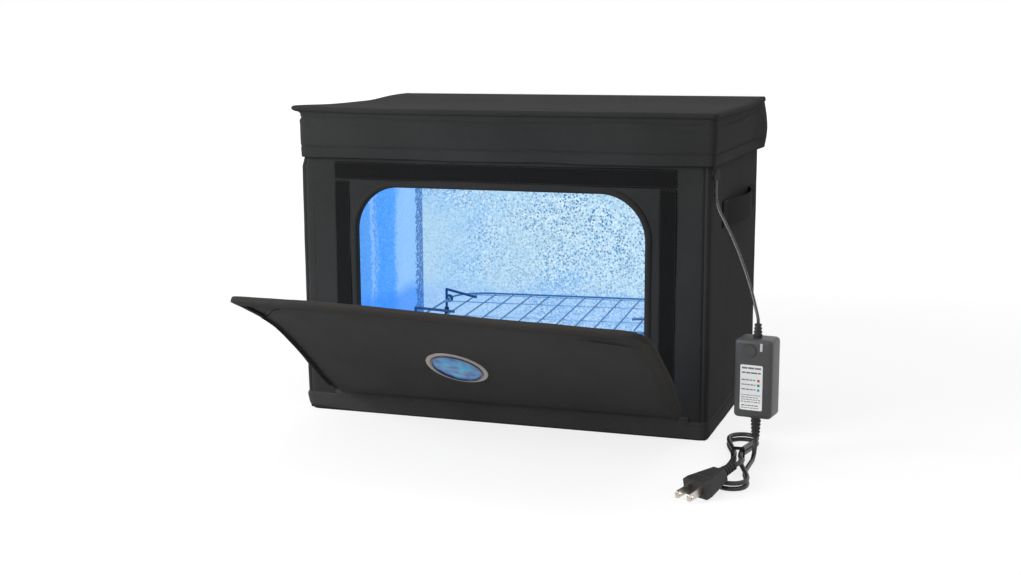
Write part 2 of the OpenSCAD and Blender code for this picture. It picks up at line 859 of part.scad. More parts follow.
// Moulded plug with finger grips and a ribbed tail
module plug_body() {
    waist = plug_w - 6;
    color([0.12, 0.12, 0.12]) plug_place() {
        difference() {
            hull() {
                translate([0, 2.5, plug_t / 2]) rotate([90, 0, 0])
                    linear_extrude(5, center = true) round_rect(plug_w, plug_t, 3, $fn = 24);
                translate([0, plug_l - 2, plug_t / 2]) rotate([90, 0, 0])
                    linear_extrude(4, center = true) round_rect(waist - 4, plug_t - 4, 3, $fn = 24);
            }
            // Finger grooves across both broad faces
            for (i = [0 : 3], z = [0, plug_t])
                translate([0, 10 + 4.4 * i, z]) rotate([0, 90, 0])
                    cylinder(r = 0.9, h = plug_w, center = true, $fn = 16);
        }
        translate([0, plug_l, plug_t / 2]) rotate([-90, 0, 0])
            strain_relief(plug_relief_l, 4.2, mains_dia / 2 + 0.8, 1, 5);
    }
}

blade_l = 17;
blade_pitch = 12.7;

module plug_blades() {
    color("silver") plug_place() for (side = [-1, 1])
        translate([side * blade_pitch / 2, 0, plug_t / 2]) difference() {
            union() {
                translate([-0.75, -blade_l + 2, -3.2]) cube([1.5, blade_l - 2, 6.4]);
                translate([-0.75, -blade_l, -2]) cube([1.5, 2, 4]);
            }
            translate([0, -blade_l + 4.4, 0]) rotate([0, 90, 0])
                cylinder(r = 1.6, h = 4, center = true);
        }
}

// Lid: a lined board under a woven top with a corded lip, and a skirt on three sides

lid_lining_z = body_h + lid_gap;
lid_board_z = lid_lining_z + lining_t;
lid_cover_z = lid_board_z + board_t;
lid_top_z = lid_cover_z + cover_t;
skirt_x = half_w + skirt_gap;
skirt_y = half_d + skirt_gap;
hinge_y = half_d + skirt_gap;
hinge_z = lid_lining_z;
lid_half_x = skirt_x + skirt_t;
skirt_z0 = body_h - skirt_h + 5;
lid_front_y = -skirt_y - skirt_t;

// Plan of the lid, square at the back where it is hinged
module lid_plan(x, front, back, r) {
    translate([-x + r, front]) square([2 * (x - r), back - front]);
    translate([-x, front + r]) square([2 * x, back - front - r]);
    for (side = [-1, 1]) translate([side * (x - r), front + r]) circle(r = r);
}

// Cord under the cloth along the front and both sides of the lid's top
module lid_lip() {
    x = lid_half_x;
    y0 = lid_front_y;
    z = lid_top_z - lip_r;
    translate([0, y0, z]) rotate([0, 90, 0]) cylinder(r = lip_r, h = 2 * x, center = true, $fn = 24);
    for (side = [-1, 1]) translate([side * x, 0, z]) {
        translate([0, y0, 0]) rotate([-90, 0, 0]) cylinder(r = lip_r, h = hinge_y - y0, $fn = 24);
        translate([0, y0, 0]) sphere(r = lip_r, $fn = 24);
    }
}

module lid_cover() {
    color(weave) {
        translate([0, 0, lid_cover_z]) linear_extrude(cover_t)
            lid_plan(lid_half_x, lid_front_y, hinge_y, corner_r);
        difference() {
            lid_lip();
            translate([0, 0, lid_cover_z - 10]) linear_extrude(10)
                lid_plan(lid_half_x, lid_front_y, hinge_y + 1, corner_r);
        }
    }
}

module lid_board() {
    color("dimgray") translate([0, 0, lid_board_z]) linear_extrude(board_t)
        lid_plan(skirt_x, -skirt_y, hinge_y, corner_r);
}

module lid_lining() {
    color(foil) translate([0, 0, lid_lining_z]) linear_extrude(lining_t)
        lid_plan(skirt_x, -skirt_y, hinge_y, corner_r);
}

module skirt_ring(x, y, t) {
    difference() {
        lid_plan(x + t, -y - t, hinge_y, corner_r);
        lid_plan(x, -y, hinge_y + 1, corner_r - 1.6);
    }
}

module lid_skirt() {
    color(weave) {
        translate([0, 0, skirt_z0]) linear_extrude(lid_cover_z - skirt_z0)
            skirt_ring(skirt_x, skirt_y, skirt_t);
        translate([0, 0, skirt_z0]) linear_extrude(skirt_hem_h)
            skirt_ring(skirt_x, skirt_y, skirt_t + skirt_hem_t);
    }
}

// Front flap, drawn shut against the face and turned open about its hinge line

flap_gap = 0.5;
welt_gap = 0.6;
flap_back_y = face_y - loop_t - hook_t - flap_gap;
flap_axis_y = flap_back_y;
flap_t = lining_t + board_t + cover_t;

module flap_place() {
    translate([flap_x, flap_axis_y, flap_z]) rotate([flap_open, 0, 0]) children();
}

// A rectangle from [x0, y0] to [x1, y1] with its four corners rounded, each by its own
// radius: lower left, lower right, upper right and upper left
module corner_plan(x0, y0, x1, y1, radii) {
    difference() {
        translate([x0, y0]) square([x1 - x0, y1 - y0]);
        for (i = [0 : 3]) {
            x = i == 0 || i == 3 ? x0 : x1;
            y = i < 2 ? y0 : y1;
            mx = x == x0 ? 1 : -1;
            my = y == y0 ? 1 : -1;
            r = radii[i];
            translate([x, y]) mirror([mx < 0 ? 1 : 0, 0]) mirror([0, my < 0 ? 1 : 0])
                difference() {
                    translate([-1, -1]) square(r + 1);
                    translate([r, r]) circle(r = r);
                }
        }
    }
}

// Plan of the flap above its hinge line
module flap_plan(inset) {
    w = flap_w / 2 - inset;
    corner_plan(-w, inset, w, flap_l - inset, [flap_foot_r, flap_foot_r,
        flap_r - inset, max(flap_left_r - inset, 2)]);
}

// A layer of the flap between two depths in front of its back face
module flap_layer(d0, d1) {
    flap_place() translate([0, -d0, 0]) rotate([90, 0, 0]) linear_extrude(d1 - d0) children();
}

module flap_lining() {
    color(foil) flap_layer(0, lining_t) flap_plan(flap_binding_w);
}

module flap_board() {
    color("dimgray") flap_layer(lining_t, lining_t + board_t) flap_plan(1.2);
}

module flap_cover() {
    color(weave) flap_layer(lining_t + board_t, flap_t) flap_plan(0);
}

module flap_border() {
    difference() {
        flap_plan(0);
        flap_plan(flap_binding_w);
        translate([-flap_w / 2 + flap_foot_r + flap_binding_w, -1])
            square([flap_w - 2 * (flap_foot_r + flap_binding_w), flap_binding_w + 2]);
    }
}

// Folded tape round the three free edges of the flap, on both faces
module flap_binding() {
    color(weave_dark) {
        flap_layer(flap_t, flap_t + 0.8) flap_border();
        flap_layer(0, lining_t) flap_border();
    }
}

hook_margin = 2;

// Three hook strips on the back of the flap, facing the loop strips when it is shut
module hook_strips() {
    hook_top = min(loop_top_z1, flap_z + flap_l - 4) - flap_z;
    hook_mid = loop_top_z0 - flap_z;
    color("black") flap_place() {
        translate([-flap_x, hook_t, 0]) rotate([90, 0, 0]) linear_extrude(hook_t) {
            translate([-loop_span / 2 + hook_margin, hook_mid])
                square([loop_span - 2 * hook_margin, hook_top - hook_mid]);
            for (side = [-1, 1])
                translate([side * (loop_span / 2 - loop_side_w / 2), (loop_z0 + loop_top_z0) / 2 - flap_z])
                    square([loop_side_w - 2 * hook_margin, loop_top_z0 - loop_z0 - 4], center = true);
        }
    }
}

module badge_oval(w, h) {
    translate([badge_x, badge_v]) resize([w, h]) circle(r = h / 2, $fn = 64);
}

module badge_rim() {
    color("silver") flap_layer(flap_t, flap_t + 2) difference() {
        badge_oval(badge_w, badge_h);
        badge_oval(badge_w - 2 * badge_rim, badge_h - 2 * badge_rim);
    }
}

module badge_film() {
    color([0.3, 0.6, 1]) flap_layer(flap_t, flap_t + 0.9)
        badge_oval(badge_w - 2 * badge_rim, badge_h - 2 * badge_rim);
}

// Wire rack: a rim with round corners, two supports under the cross wires, folding legs

rack_x = 9;
rack_y = 10;
rack_half_l = rack_l / 2;
rack_half_d = rack_d / 2;

module rack_place() {
    translate([rack_x, rack_y, rack_z]) rotate([0, 0, rack_turn]) children();
}

module wire_x(y, z, x0, x1, r) {
    translate([x0, y, z]) rotate([0, 90, 0]) cylinder(r = r, h = x1 - x0, $fn = 16);
}

module wire_y(x, z, y0, y1, r) {
    translate([x, y0, z]) rotate([-90, 0, 0]) cylinder(r = r, h = y1 - y0, $fn = 16);
}

// Half width of the rim at a distance x from its middle
function rim_reach(x) = let (e = max(0, abs(x) - (rack_half_l - rack_r)))
    rack_half_d - rack_r + sqrt(rack_r * rack_r - e * e);

cross_z = rim_wire_r + cross_wire_r - 0.3;
cross_count = floor((rack_half_l - 8) / cross_pitch);
rack_inset = 12.5;
support_y = 38;
inner_reach = rack_half_d - rack_inset;
// Where the wire beside the rim meets the corner's bend
inner_half_l = rack_half_l - rack_r + sqrt(rack_r * rack_r - pow(rack_r - rack_inset, 2));

module rack_grid() {
    color(wire) rack_place() {
        for (side = [-1, 1]) {
            wire_x(side * rack_half_d, 0, -rack_half_l + rack_r, rack_half_l - rack_r, rim_wire_r);
            wire_y(side * rack_half_l, 0, -rack_half_d + rack_r, rack_half_d - rack_r, rim_wire_r);
            // Wire beside the rim that the cross wires end on, and a support between
            wire_x(side * inner_reach, 0.2, -inner_half_l, inner_half_l, rim_wire_r - 0.2);
            wire_x(side * support_y, 0.2, -rack_half_l, rack_half_l, rim_wire_r - 0.2);
        }
        for (i = [0 : 3]) rotate([0, 0, 90 * i]) {
            cx = (i % 2 == 0 ? rack_half_l : rack_half_d) - rack_r;
            cy = (i % 2 == 0 ? rack_half_d : rack_half_l) - rack_r;
            translate([cx, cy, 0]) rotate_extrude(angle = 90, $fn = 96)
                translate([rack_r, 0]) circle(r = rim_wire_r, $fn = 16);
        }
        for (i = [-cross_count : cross_count]) {
            x = i * cross_pitch;
            reach = min(rim_reach(x), inner_reach + 1.6);
            wire_y(x, cross_z, -reach, reach, cross_wire_r);
        }
    }
}

// A leg: a bent wire with a foot bar, rings round the rim and hooked upper ends

leg_foot_z = floor_t + rim_wire_r + 0.1 - rack_z;
ring_r = rim_wire_r + ring_gap + rim_wire_r;
leg_bend = 7;
upright_x = ring_r;
hook_turn = 20;
sleeve_r = rim_wire_r + 1.1;
sleeve_z = -20;
sleeve_l = 10;

module leg_corner(angle0) {
    rotate([90, 0, 90]) rotate([0, 0, angle0]) rotate_extrude(angle = 90, $fn = 96)
        translate([leg_bend, 0]) circle(r = rim_wire_r, $fn = 16);
}

// Drawn for the right end of the rack, with the pivot on the Y axis
module leg() {
    for (side = [-1, 1]) translate([0, side * leg_span / 2, 0]) {
        // Ring round the rim, the upright outside it and the hook over the rack
        rotate([90, 0, 0]) rotate_extrude($fn = 48) translate([ring_r, 0])
            circle(r = rim_wire_r, $fn = 16);
        translate([upright_x, 0, leg_foot_z + leg_bend])
            cylinder(r = rim_wire_r, h = leg_hook_h - leg_foot_z - leg_bend, $fn = 16);
        translate([upright_x, 0, leg_hook_h]) sphere(r = rim_wire_r, $fn = 16);
        translate([upright_x, 0, leg_hook_h])
            rotate([0, 0, side * hook_turn]) rotate([0, -90 - leg_hook_dip, 0])
                cylinder(r = rim_wire_r, h = leg_hook_l, $fn = 16);
    }
    translate([upright_x, 0, leg_foot_z]) {
        translate([0, leg_span / 2 - leg_bend, leg_bend]) leg_corner(270);
        translate([0, -leg_span / 2 + leg_bend, leg_bend]) leg_corner(180);
    }
    wire_y(upright_x, leg_foot_z, -leg_span / 2 + leg_bend, leg_span / 2 - leg_bend, rim_wire_r);
}

// The hooked ends slope down and stop just above the cross wires
leg_hook_dip = asin((leg_hook_h - cross_z - cross_wire_r - rim_wire_r - 0.5) / leg_hook_l);

module leg_right() {
    color(wire) rack_place() translate([rack_half_l, 0, 0]) leg();
}

module leg_left() {
    color(wire) rack_place() translate([-rack_half_l, 0, 0]) rotate([0, 0, 180]) leg();
}

// Rubber sleeves on the uprights
module leg_sleeves(side) {
    color("black") rack_place() translate([side * (rack_half_l + upright_x), 0, sleeve_z])
        for (end = [-1, 1]) translate([0, end * leg_span / 2, 0]) difference() {
            cylinder(r = sleeve_r, h = sleeve_l);
            translate([0, 0, -1]) cylinder(r = rim_wire_r, h = sleeve_l + 2, $fn = 16);
        }
}

module leg_sleeves_left() {
    leg_sleeves(-1);
}

module leg_sleeves_right() {
    leg_sleeves(1);
}

cover_front();
cover_back();
cover_left();
cover_right();
cover_bottom();
board_front();
board_back();
board_left();
board_right();
board_bottom();
lining_front();
lining_back();
lining_left();
lining_right();
lining_bottom();
rim_binding();
window_binding();
hem_band();
loop_strip_top();
loop_strips_side();
handle_left();
handle_right();
lamp_channel();
lamp_holders();
lamp_tube();
lamp_caps();
lamp_driver();
inner_lead();
cable_grommet();
lead_cable();
lead_relief();
adapter_front();
adapter_back();
adapter_board();
light_pipe();
timer_label();
timer_button();
mains_relief();
mains_drop();
mains_hank();
mains_tail();
cord_tie();
plug_body();
plug_blades();
lid_cover();
lid_board();
lid_lining();
lid_skirt();
flap_cover();
flap_board();
flap_lining();
flap_binding();
hook_strips();
badge_rim();
badge_film();
rack_grid();
leg_left();
leg_right();
leg_sleeves_left();
leg_sleeves_right();
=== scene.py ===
import math

import bpy
import numpy as np
from mathutils import Matrix, Vector


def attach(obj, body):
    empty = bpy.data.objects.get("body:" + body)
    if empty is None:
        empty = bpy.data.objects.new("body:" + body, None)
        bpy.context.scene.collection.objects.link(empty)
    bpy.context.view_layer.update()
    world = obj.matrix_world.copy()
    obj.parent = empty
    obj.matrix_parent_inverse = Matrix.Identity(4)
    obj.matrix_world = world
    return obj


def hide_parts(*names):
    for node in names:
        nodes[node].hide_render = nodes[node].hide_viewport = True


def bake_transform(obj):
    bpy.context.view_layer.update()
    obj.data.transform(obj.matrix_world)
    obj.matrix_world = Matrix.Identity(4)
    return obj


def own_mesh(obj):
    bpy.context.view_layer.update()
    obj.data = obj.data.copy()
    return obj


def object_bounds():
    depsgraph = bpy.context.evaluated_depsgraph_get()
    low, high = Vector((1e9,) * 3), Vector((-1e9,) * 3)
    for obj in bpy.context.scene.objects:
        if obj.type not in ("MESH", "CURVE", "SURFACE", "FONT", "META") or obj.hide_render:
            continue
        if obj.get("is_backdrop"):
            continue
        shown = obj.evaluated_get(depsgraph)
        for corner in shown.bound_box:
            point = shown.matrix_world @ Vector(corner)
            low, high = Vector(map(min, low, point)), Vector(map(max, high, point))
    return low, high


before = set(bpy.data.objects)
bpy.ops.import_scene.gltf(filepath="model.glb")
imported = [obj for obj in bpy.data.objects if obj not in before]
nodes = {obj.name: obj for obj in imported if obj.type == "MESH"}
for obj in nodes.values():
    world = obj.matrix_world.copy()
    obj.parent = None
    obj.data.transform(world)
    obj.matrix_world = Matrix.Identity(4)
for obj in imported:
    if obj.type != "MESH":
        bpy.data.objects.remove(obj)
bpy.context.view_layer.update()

# Camera
# Stands at the photograph's height and side, to the right of the box, looking a little down.
camera = bpy.data.objects.new("camera", bpy.data.cameras.new("camera"))
bpy.context.scene.collection.objects.link(camera)
bpy.context.scene.camera = camera
camera.data.lens = 51.64
camera.data.sensor_width = 36
camera_yaw, camera_pitch, camera_roll = -0.32934, -0.17233, -0.00459
ahead = Vector((math.sin(camera_yaw) * math.cos(camera_pitch),
                math.cos(camera_yaw) * math.cos(camera_pitch), math.sin(camera_pitch)))
level = Vector((math.cos(camera_yaw), -math.sin(camera_yaw), 0))
above = level.cross(ahead)
across = math.cos(camera_roll) * level + math.sin(camera_roll) * above
upward = math.cos(camera_roll) * above - math.sin(camera_roll) * level
camera_place = (0.45142, -1.41443, 0.37077)
camera_frame = Matrix((across, upward, -ahead)).transposed().to_4x4()
camera.matrix_world = Matrix.Translation(camera_place) @ camera_frame

# Low-voltage lead
# Thin two-core lead in a black jacket. It leaves the hood high on the right wall and hangs
# down to the timer, which it carries.
lead_r = 0.0014
lead_line = [
    (203, -117, 240), (203, -117, 234), (203.2, -117.1, 226.6), (204.5, -118.1, 219.2),
    (207.4, -120.4, 212.4), (211.4, -123.6, 206), (216, -127.4, 199), (221, -132, 191.4),
    (226, -137, 183), (231, -142, 174.2), (235.6, -146.8, 165), (240, -151.4, 155.6),
    (244, -155.8, 146), (247, -159.4, 137.8), (249.4, -162.4, 131), (250.8, -164.2, 126.8),
    (251.4, -164.9, 124.2), (251.5, -165, 121)]


def smooth_line(points, steps):
    """A smooth line in metres through points in millimetres."""
    p = np.array([points[0], *points, points[-1]], float) / 1000
    line = []
    for a, b, c, d in zip(p, p[1:], p[2:], p[3:]):
        for t in np.arange(steps) / steps:
            line.append(0.5 * (2 * b + (c - a) * t + (2 * a - 5 * b + 4 * c - d) * t ** 2
                               + (3 * b - a - 3 * c + d) * t ** 3))
    return np.array([*line, p[-1]])


def select_only(piece):
    """Makes the piece the only one selected, and the active one."""
    bpy.ops.object.select_all(action="DESELECT")
    bpy.context.view_layer.objects.active = piece
    piece.select_set(True)


def round_cord(name, line, radius, kind="POLY"):
    """A round cord on a line in metres, straight from point to point or, as NURBS, in soft bends."""
    curve = bpy.data.curves.new(name, "CURVE")
    curve.dimensions = "3D"
    curve.resolution_u = 8
    curve.bevel_depth = radius
    curve.bevel_resolution = 4
    curve.use_fill_caps = True
    spline = curve.splines.new(kind)
    spline.points.add(len(line) - 1)
    for knot, p in zip(spline.points, line):
        knot.co = (*p, 1)
    if kind == "NURBS":
        spline.order_u = 3
        spline.use_endpoint_u = True
    cord = bpy.data.objects.new(name, curve)
    bpy.context.scene.collection.objects.link(cord)
    select_only(cord)
    bpy.ops.object.convert(target="MESH")
    cord.data.shade_smooth()
    return cord


lead_path = smooth_line(lead_line, 4)
lead = round_cord("lead", lead_path, lead_r)
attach(lead, "body")
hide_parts("lead_cable")

# Mains cord
# Round mains cord, 4 mm thick. It drops from the timer to the table, is folded in a hank
# held at its waist by a tie, and ends in the plug that lies on the hank.
mains_r = 0.002
hank_x, hank_y, hank_turn = 240.5, -190, math.radians(5.6)
hank_reach, hank_waist, hank_swell, layer_rise = 76, 3, 28, 4.6


def soft_step(value):
    """0 to 1, eased at both ends."""
    value = np.clip(value, 0, 1)
    return value * value * (3 - 2 * value)


def hank_point(angle):
    """Point in millimetres on the hank's loops, which pass over each other at its waist."""
    a = math.radians(angle)
    u = hank_reach * math.cos(a)
    v = math.sin(a) * (hank_waist + hank_swell * math.cos(a) ** 2)
    climbed = soft_step((-angle - 190) / 100) + soft_step((-angle - 550) / 100)
    hump = 1.2 * math.cos(math.radians(3 * u)) ** 2 if abs(u) < 30 else 0
    return (hank_x + u * math.sin(hank_turn) + v * math.cos(hank_turn),
            hank_y - u * math.cos(hank_turn) + v * math.sin(hank_turn), 2 + layer_rise * climbed + hump)


mains_line = [
    (251.5, -165, 19.5), (251.5, -165.2, 15.8), (251.5, -166.6, 11), (251.5, -170, 6.4),
    (251.5, -175, 3.2), (251.5, -181, 2), (251.4, -188, 2), (251.3, -196, 2), (251.3, -204, 2),
    (251.4, -212, 2), (252, -219, 2), (253.2, -226.4, 2)]
mains_line += [hank_point(50 - 680 * i / 92) for i in range(93)]
mains_line += [
    (244.5, -200, 12.4), (245.6, -207, 12.9), (247.3, -214, 13.6), (249.3, -221, 14.9),
    (251.2, -228, 16.4), (252.4, -235, 18), (252.4, -241.4, 18.8), (250.6, -247, 18.2),
    (248.2, -251.2, 17.6)]
mains_path = smooth_line(mains_line, 3)
mains = round_cord("mains_cord", mains_path, mains_r)
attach(mains, "body")
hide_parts("mains_drop", "mains_hank", "mains_tail")

# Floor, backdrop and lights
# A pale floor that keeps the object's shadow, a white surround, and soft lamps.


def feed(tree, node, given):
    """Gives the node's inputs plain values or the outputs of other nodes."""
    for name, value in given.items():
        if isinstance(value, bpy.types.NodeSocket):
            tree.links.new(value, node.inputs[name])
        else:
            node.inputs[name].default_value = value


def maths(tree, operation, first, second=None, third=None, clamp=False):
    """A math node in the tree, fed by sockets or plain numbers."""
    node = tree.nodes.new("ShaderNodeMath")
    node.operation = operation
    node.use_clamp = clamp
    feed(tree, node, {k: v for k, v in enumerate((first, second, third)) if v is not None})
    return node.outputs[0]


def rescale(tree, value, low, high, to_low=0.0, to_high=1.0, ease="LINEAR"):
    """The value's run from low to high, laid on the run from to_low to to_high."""
    node = tree.nodes.new("ShaderNodeMapRange")
    node.interpolation_type = ease
    feed(tree, node, {"Value": value, "From Min": low, "From Max": high, "To Min": to_low, "To Max": to_high})
    return node.outputs[0]


def seen_ray(tree):
    """1 on rays that show in the picture, straight or through gloss or glass, and 0 on others."""
    ray = tree.nodes.new("ShaderNodeLightPath")
    seen = maths(tree, "ADD", ray.outputs["Is Camera Ray"], ray.outputs["Is Glossy Ray"])
    return maths(tree, "ADD", seen, ray.outputs["Is Transmission Ray"], clamp=True)


def two_looks(tree, plain, pictured, end):
    """Ends a node tree in one shader for lighting and another that shows in the picture."""
    either = tree.nodes.new("ShaderNodeMixShader")
    feed(tree, either, {0: seen_ray(tree), 1: plain.outputs[0], 2: pictured.outputs[0]})
    tree.links.new(either.outputs[0], tree.nodes[end].inputs["Surface"])


def new_material(name):
    """A new material, its node tree and its main shader."""
    made = bpy.data.materials.new(name)
    made.use_nodes = True
    return made, made.node_tree, made.node_tree.nodes["Principled BSDF"]


world = bpy.data.worlds.new("studio")
bpy.context.scene.world = world
world.use_nodes = True
air = world.node_tree
surround = air.nodes["Background"]
feed(air, surround, {"Color": (0.83, 0.825, 0.82, 1), "Strength": 0.55})
white = air.nodes.new("ShaderNodeBackground")
feed(air, white, {"Color": (1, 1, 1, 1), "Strength": 1.0})
two_looks(air, surround, white, "World Output")

bpy.ops.object.select_all(action="DESELECT")
bpy.ops.mesh.primitive_plane_add(size=14)
floor = bpy.context.object
floor.name = "floor"
floor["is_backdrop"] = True
ground, tree, skin = new_material("pale_floor")
tree.nodes.remove(skin)
matte = tree.nodes.new("ShaderNodeBsdfDiffuse")
matte.inputs["Color"].default_value = (0.62, 0.62, 0.62, 1)
faint = tree.nodes.new("ShaderNodeBsdfDiffuse")
faint.inputs["Color"].default_value = (0.28, 0.28, 0.28, 1)
# In the picture the floor is white but for a soft shadow, and whiter still far away
place = tree.nodes.new("ShaderNodeTexCoord")
away = tree.nodes.new("ShaderNodeVectorMath")
away.operation = "LENGTH"
feed(tree, away, {0: place.outputs["Object"]})
glow = tree.nodes.new("ShaderNodeEmission")
feed(tree, glow, {"Strength": rescale(tree, away.outputs["Value"], 0.5, 2.5, 0.78, 1.0)})
both = tree.nodes.new("ShaderNodeAddShader")
feed(tree, both, {0: faint.outputs[0], 1: glow.outputs[0]})
two_looks(tree, matte, both, "Material Output")
floor.data.materials.append(ground)

for name, place, aim, size, power in (
        ("key_lamp", (-1.12, -1.15, 0.70), (0, 0, 0.15), 0.8, 21.5),
        ("fill_lamp", (1.9, -1.4, 1.1), (0, 0, 0.15), 1.6, 4.5),
        ("top_lamp", (0.2, 0.6, 2.2), (0, 0, 0.2), 1.8, 9.5)):
    lamp = bpy.data.objects.new(name, bpy.data.lights.new(name, "AREA"))
    bpy.context.scene.collection.objects.link(lamp)
    lamp.data.shape = "SQUARE"
    lamp.data.size = size
    lamp.data.energy = power
    lamp.location = place
    lamp.rotation_euler = (Vector(aim) - Vector(place)).to_track_quat("-Z", "Y").to_euler()

bpy.context.scene.view_settings.view_transform = "Standard"

# Body cover
# Charcoal woven polyester over boards: front panel with the window, sides that wrap round
# the corners, back and bottom, seamed where they meet.
half_w, half_d = 0.200, 0.125
corner_r = 0.005
wall_foot, wall_top = 0.0012, 0.2938
cover_w, cloth_thick = 0.390, 0.0012
window_x, window_z = -0.003, 0.1395
window_half_w, window_half_h, window_r = 0.1435, 0.0855, 0.043


def noise(tree, place, scale, detail=2, roughness=0.5):
    """Cloudy noise from 0 to 1, fixed to the piece."""
    node = tree.nodes.new("ShaderNodeTexNoise")
    feed(tree, node, {"Vector": place.outputs["Object"], "Scale": scale, "Detail": detail,
                      "Roughness": roughness})
    return node.outputs["Fac"]


def toned(tree, colour, tone):
    """The colour made darker or lighter by a tone about 1."""
    node = tree.nodes.new("ShaderNodeVectorMath")
    node.operation = "SCALE"
    feed(tree, node, {0: colour, "Scale": tone})
    return node.outputs[0]


def bumped(tree, height, distance, strength):
    """The surface's direction, tilted by the slopes of a height."""
    node = tree.nodes.new("ShaderNodeBump")
    feed(tree, node, {"Height": height, "Distance": distance, "Strength": strength})
    return node.outputs[0]


def plain_weave_group():
    """Plain weave seen close up: crossing threads, loose fibres and a cloudy, worn tone."""
    group = bpy.data.node_groups.new("plain_weave", "ShaderNodeTree")
    for name, way, kind in (
            ("Cloth", "INPUT", "Color"), ("Threads", "INPUT", "Float"), ("Cloudiness", "INPUT", "Float"),
            ("Relief", "INPUT", "Float"), ("Colour", "OUTPUT", "Color"), ("Roughness", "OUTPUT", "Float"),
            ("Normal", "OUTPUT", "Vector")):
        group.interface.new_socket(name, in_out=way, socket_type="NodeSocket" + kind)
    given = group.nodes.new("NodeGroupInput")
    made = group.nodes.new("NodeGroupOutput")
    place = group.nodes.new("ShaderNodeTexCoord")
    at = group.nodes.new("ShaderNodeSeparateXYZ")
    facing = group.nodes.new("ShaderNodeSeparateXYZ")
    group.links.new(place.outputs["Object"], at.inputs[0])
    group.links.new(place.outputs["Normal"], facing.inputs[0])
    x, y, z = at.outputs
    sideways = maths(group, "GREATER_THAN", maths(group, "ABSOLUTE", facing.outputs[0]), 0.6)
    flat = maths(group, "GREATER_THAN", maths(group, "ABSOLUTE", facing.outputs[2]), 0.6)
    u = maths(group, "MULTIPLY_ADD", maths(group, "SUBTRACT", y, x), sideways, x)
    v = maths(group, "MULTIPLY_ADD", maths(group, "SUBTRACT", y, z), flat, z)
    pitch = maths(group, "MULTIPLY", given.outputs["Threads"], math.pi)
    warp = maths(group, "SINE", maths(group, "MULTIPLY", u, pitch))
    weft = maths(group, "SINE", maths(group, "MULTIPLY", v, pitch))
    crossing = maths(group, "MULTIPLY", warp, weft)
    fibres = noise(group, place, 1400)
    cloud = noise(group, place, 9, detail=5, roughness=0.6)
    height = maths(group, "MULTIPLY_ADD", fibres, 0.8, crossing)
    tone = maths(group, "MULTIPLY", maths(group, "SUBTRACT", cloud, 0.5), given.outputs["Cloudiness"])
    tone = maths(group, "MULTIPLY_ADD", crossing, 0.10, tone)
    tone = maths(group, "MULTIPLY_ADD", maths(group, "SUBTRACT", fibres, 0.5), 0.5, tone)
    tone = maths(group, "ADD", tone, 1.0)
    feed(group, made, {
        "Colour": toned(group, given.outputs["Cloth"], tone),
        "Roughness": maths(group, "MULTIPLY_ADD", cloud, 0.2, 0.72),
        "Normal": bumped(group, height, 0.0003, given.outputs["Relief"])})
    return group


plain_weave = plain_weave_group()


def cloth_material(name, colour, threads=1300, cloudiness=0.5, relief=0.5, sheen=0.03):
    """Woven cloth of one colour, with so many threads to the metre."""
    cloth, tree, skin = new_material(name)
    weave = tree.nodes.new("ShaderNodeGroup")
    weave.node_tree = plain_weave
    feed(tree, weave, {"Cloth": (*colour, 1), "Threads": threads, "Cloudiness": cloudiness,
                       "Relief": relief})
    feed(tree, skin, {
        "Base Color": weave.outputs["Colour"], "Roughness": weave.outputs["Roughness"],
        "Normal": weave.outputs["Normal"], "Sheen Weight": sheen, "Sheen Roughness": 0.5,
        "Specular IOR Level": 0.02})
    return cloth


charcoal = cloth_material("charcoal_polyester", (0.036, 0.036, 0.036), cloudiness=0.8)
tape_black = cloth_material("binding_tape", (0.026, 0.026, 0.026), threads=900, relief=0.8)


def cloth_grid(name, columns, rows):
    """A fine grid and its two shares, from 0 to 1, across and up each vertex."""
    bpy.ops.object.select_all(action="DESELECT")
    bpy.ops.mesh.primitive_grid_add(x_subdivisions=columns, y_subdivisions=rows, size=1)
    piece = bpy.context.object
    piece.name = name
    piece.data.name = name
    co = np.zeros(len(piece.data.vertices) * 3)
    piece.data.vertices.foreach_get("co", co)
    share = co.reshape(-1, 3)[:, :2] + 0.5
    return piece, share[:, 0], share[:, 1]


def lay_points(piece, points):
    """Puts the piece's vertices at points, in metres, and smooths its shading."""
    piece.data.vertices.foreach_set("co", np.asarray(points, float).ravel())
    piece.data.update()
    piece.data.shade_smooth()


def apply_modifiers(piece):
    """Makes what the piece's modifiers do part of its mesh."""
    select_only(piece)
    for modifier in list(piece.modifiers):
        bpy.ops.object.modifier_apply(modifier=modifier.name)


def thicken(piece, thickness):
    """Gives a sheet its thickness behind its face."""
    wall = piece.modifiers.new("thickness", "SOLIDIFY")
    wall.thickness = thickness
    wall.offset = -1
    wall.use_even_offset = False
    apply_modifiers(piece)


def puckers(u, v, seed, waves=10, fastest=9.0):
    """Smooth seeded unevenness of cloth, about -1 to 1, over shares u and v."""
    chance = np.random.default_rng(seed)
    total = np.zeros_like(u)
    for k in range(waves):
        speed = 1.0 + (fastest - 1.0) * k / waves
        way = chance.uniform(0, 2 * math.pi)
        total += np.sin(2 * math.pi * speed * (u * math.cos(way) + v * math.sin(way))
                        + chance.uniform(0, 2 * math.pi)) / (1 + 0.5 * k)
    return total / 2.2


def finish_piece(piece, material, body, slot, *cad):
    """Gives the piece its material and its body, and hides the CAD nodes it replaces. The slot is not used.
    """
    piece.data.materials.append(material)
    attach(piece, body)
    if cad:
        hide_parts(*cad)


def near_edge(share, width):
    """0 on a panel's edges, rising to 1 at width from them, over a share from 0 to 1."""
    return soft_step(np.minimum(share, 1 - share) / width)


def wall_height(share):
    """Height of a place on a wall's cloth, at a share of the way up."""
    return wall_foot + share * (wall_top - wall_foot)


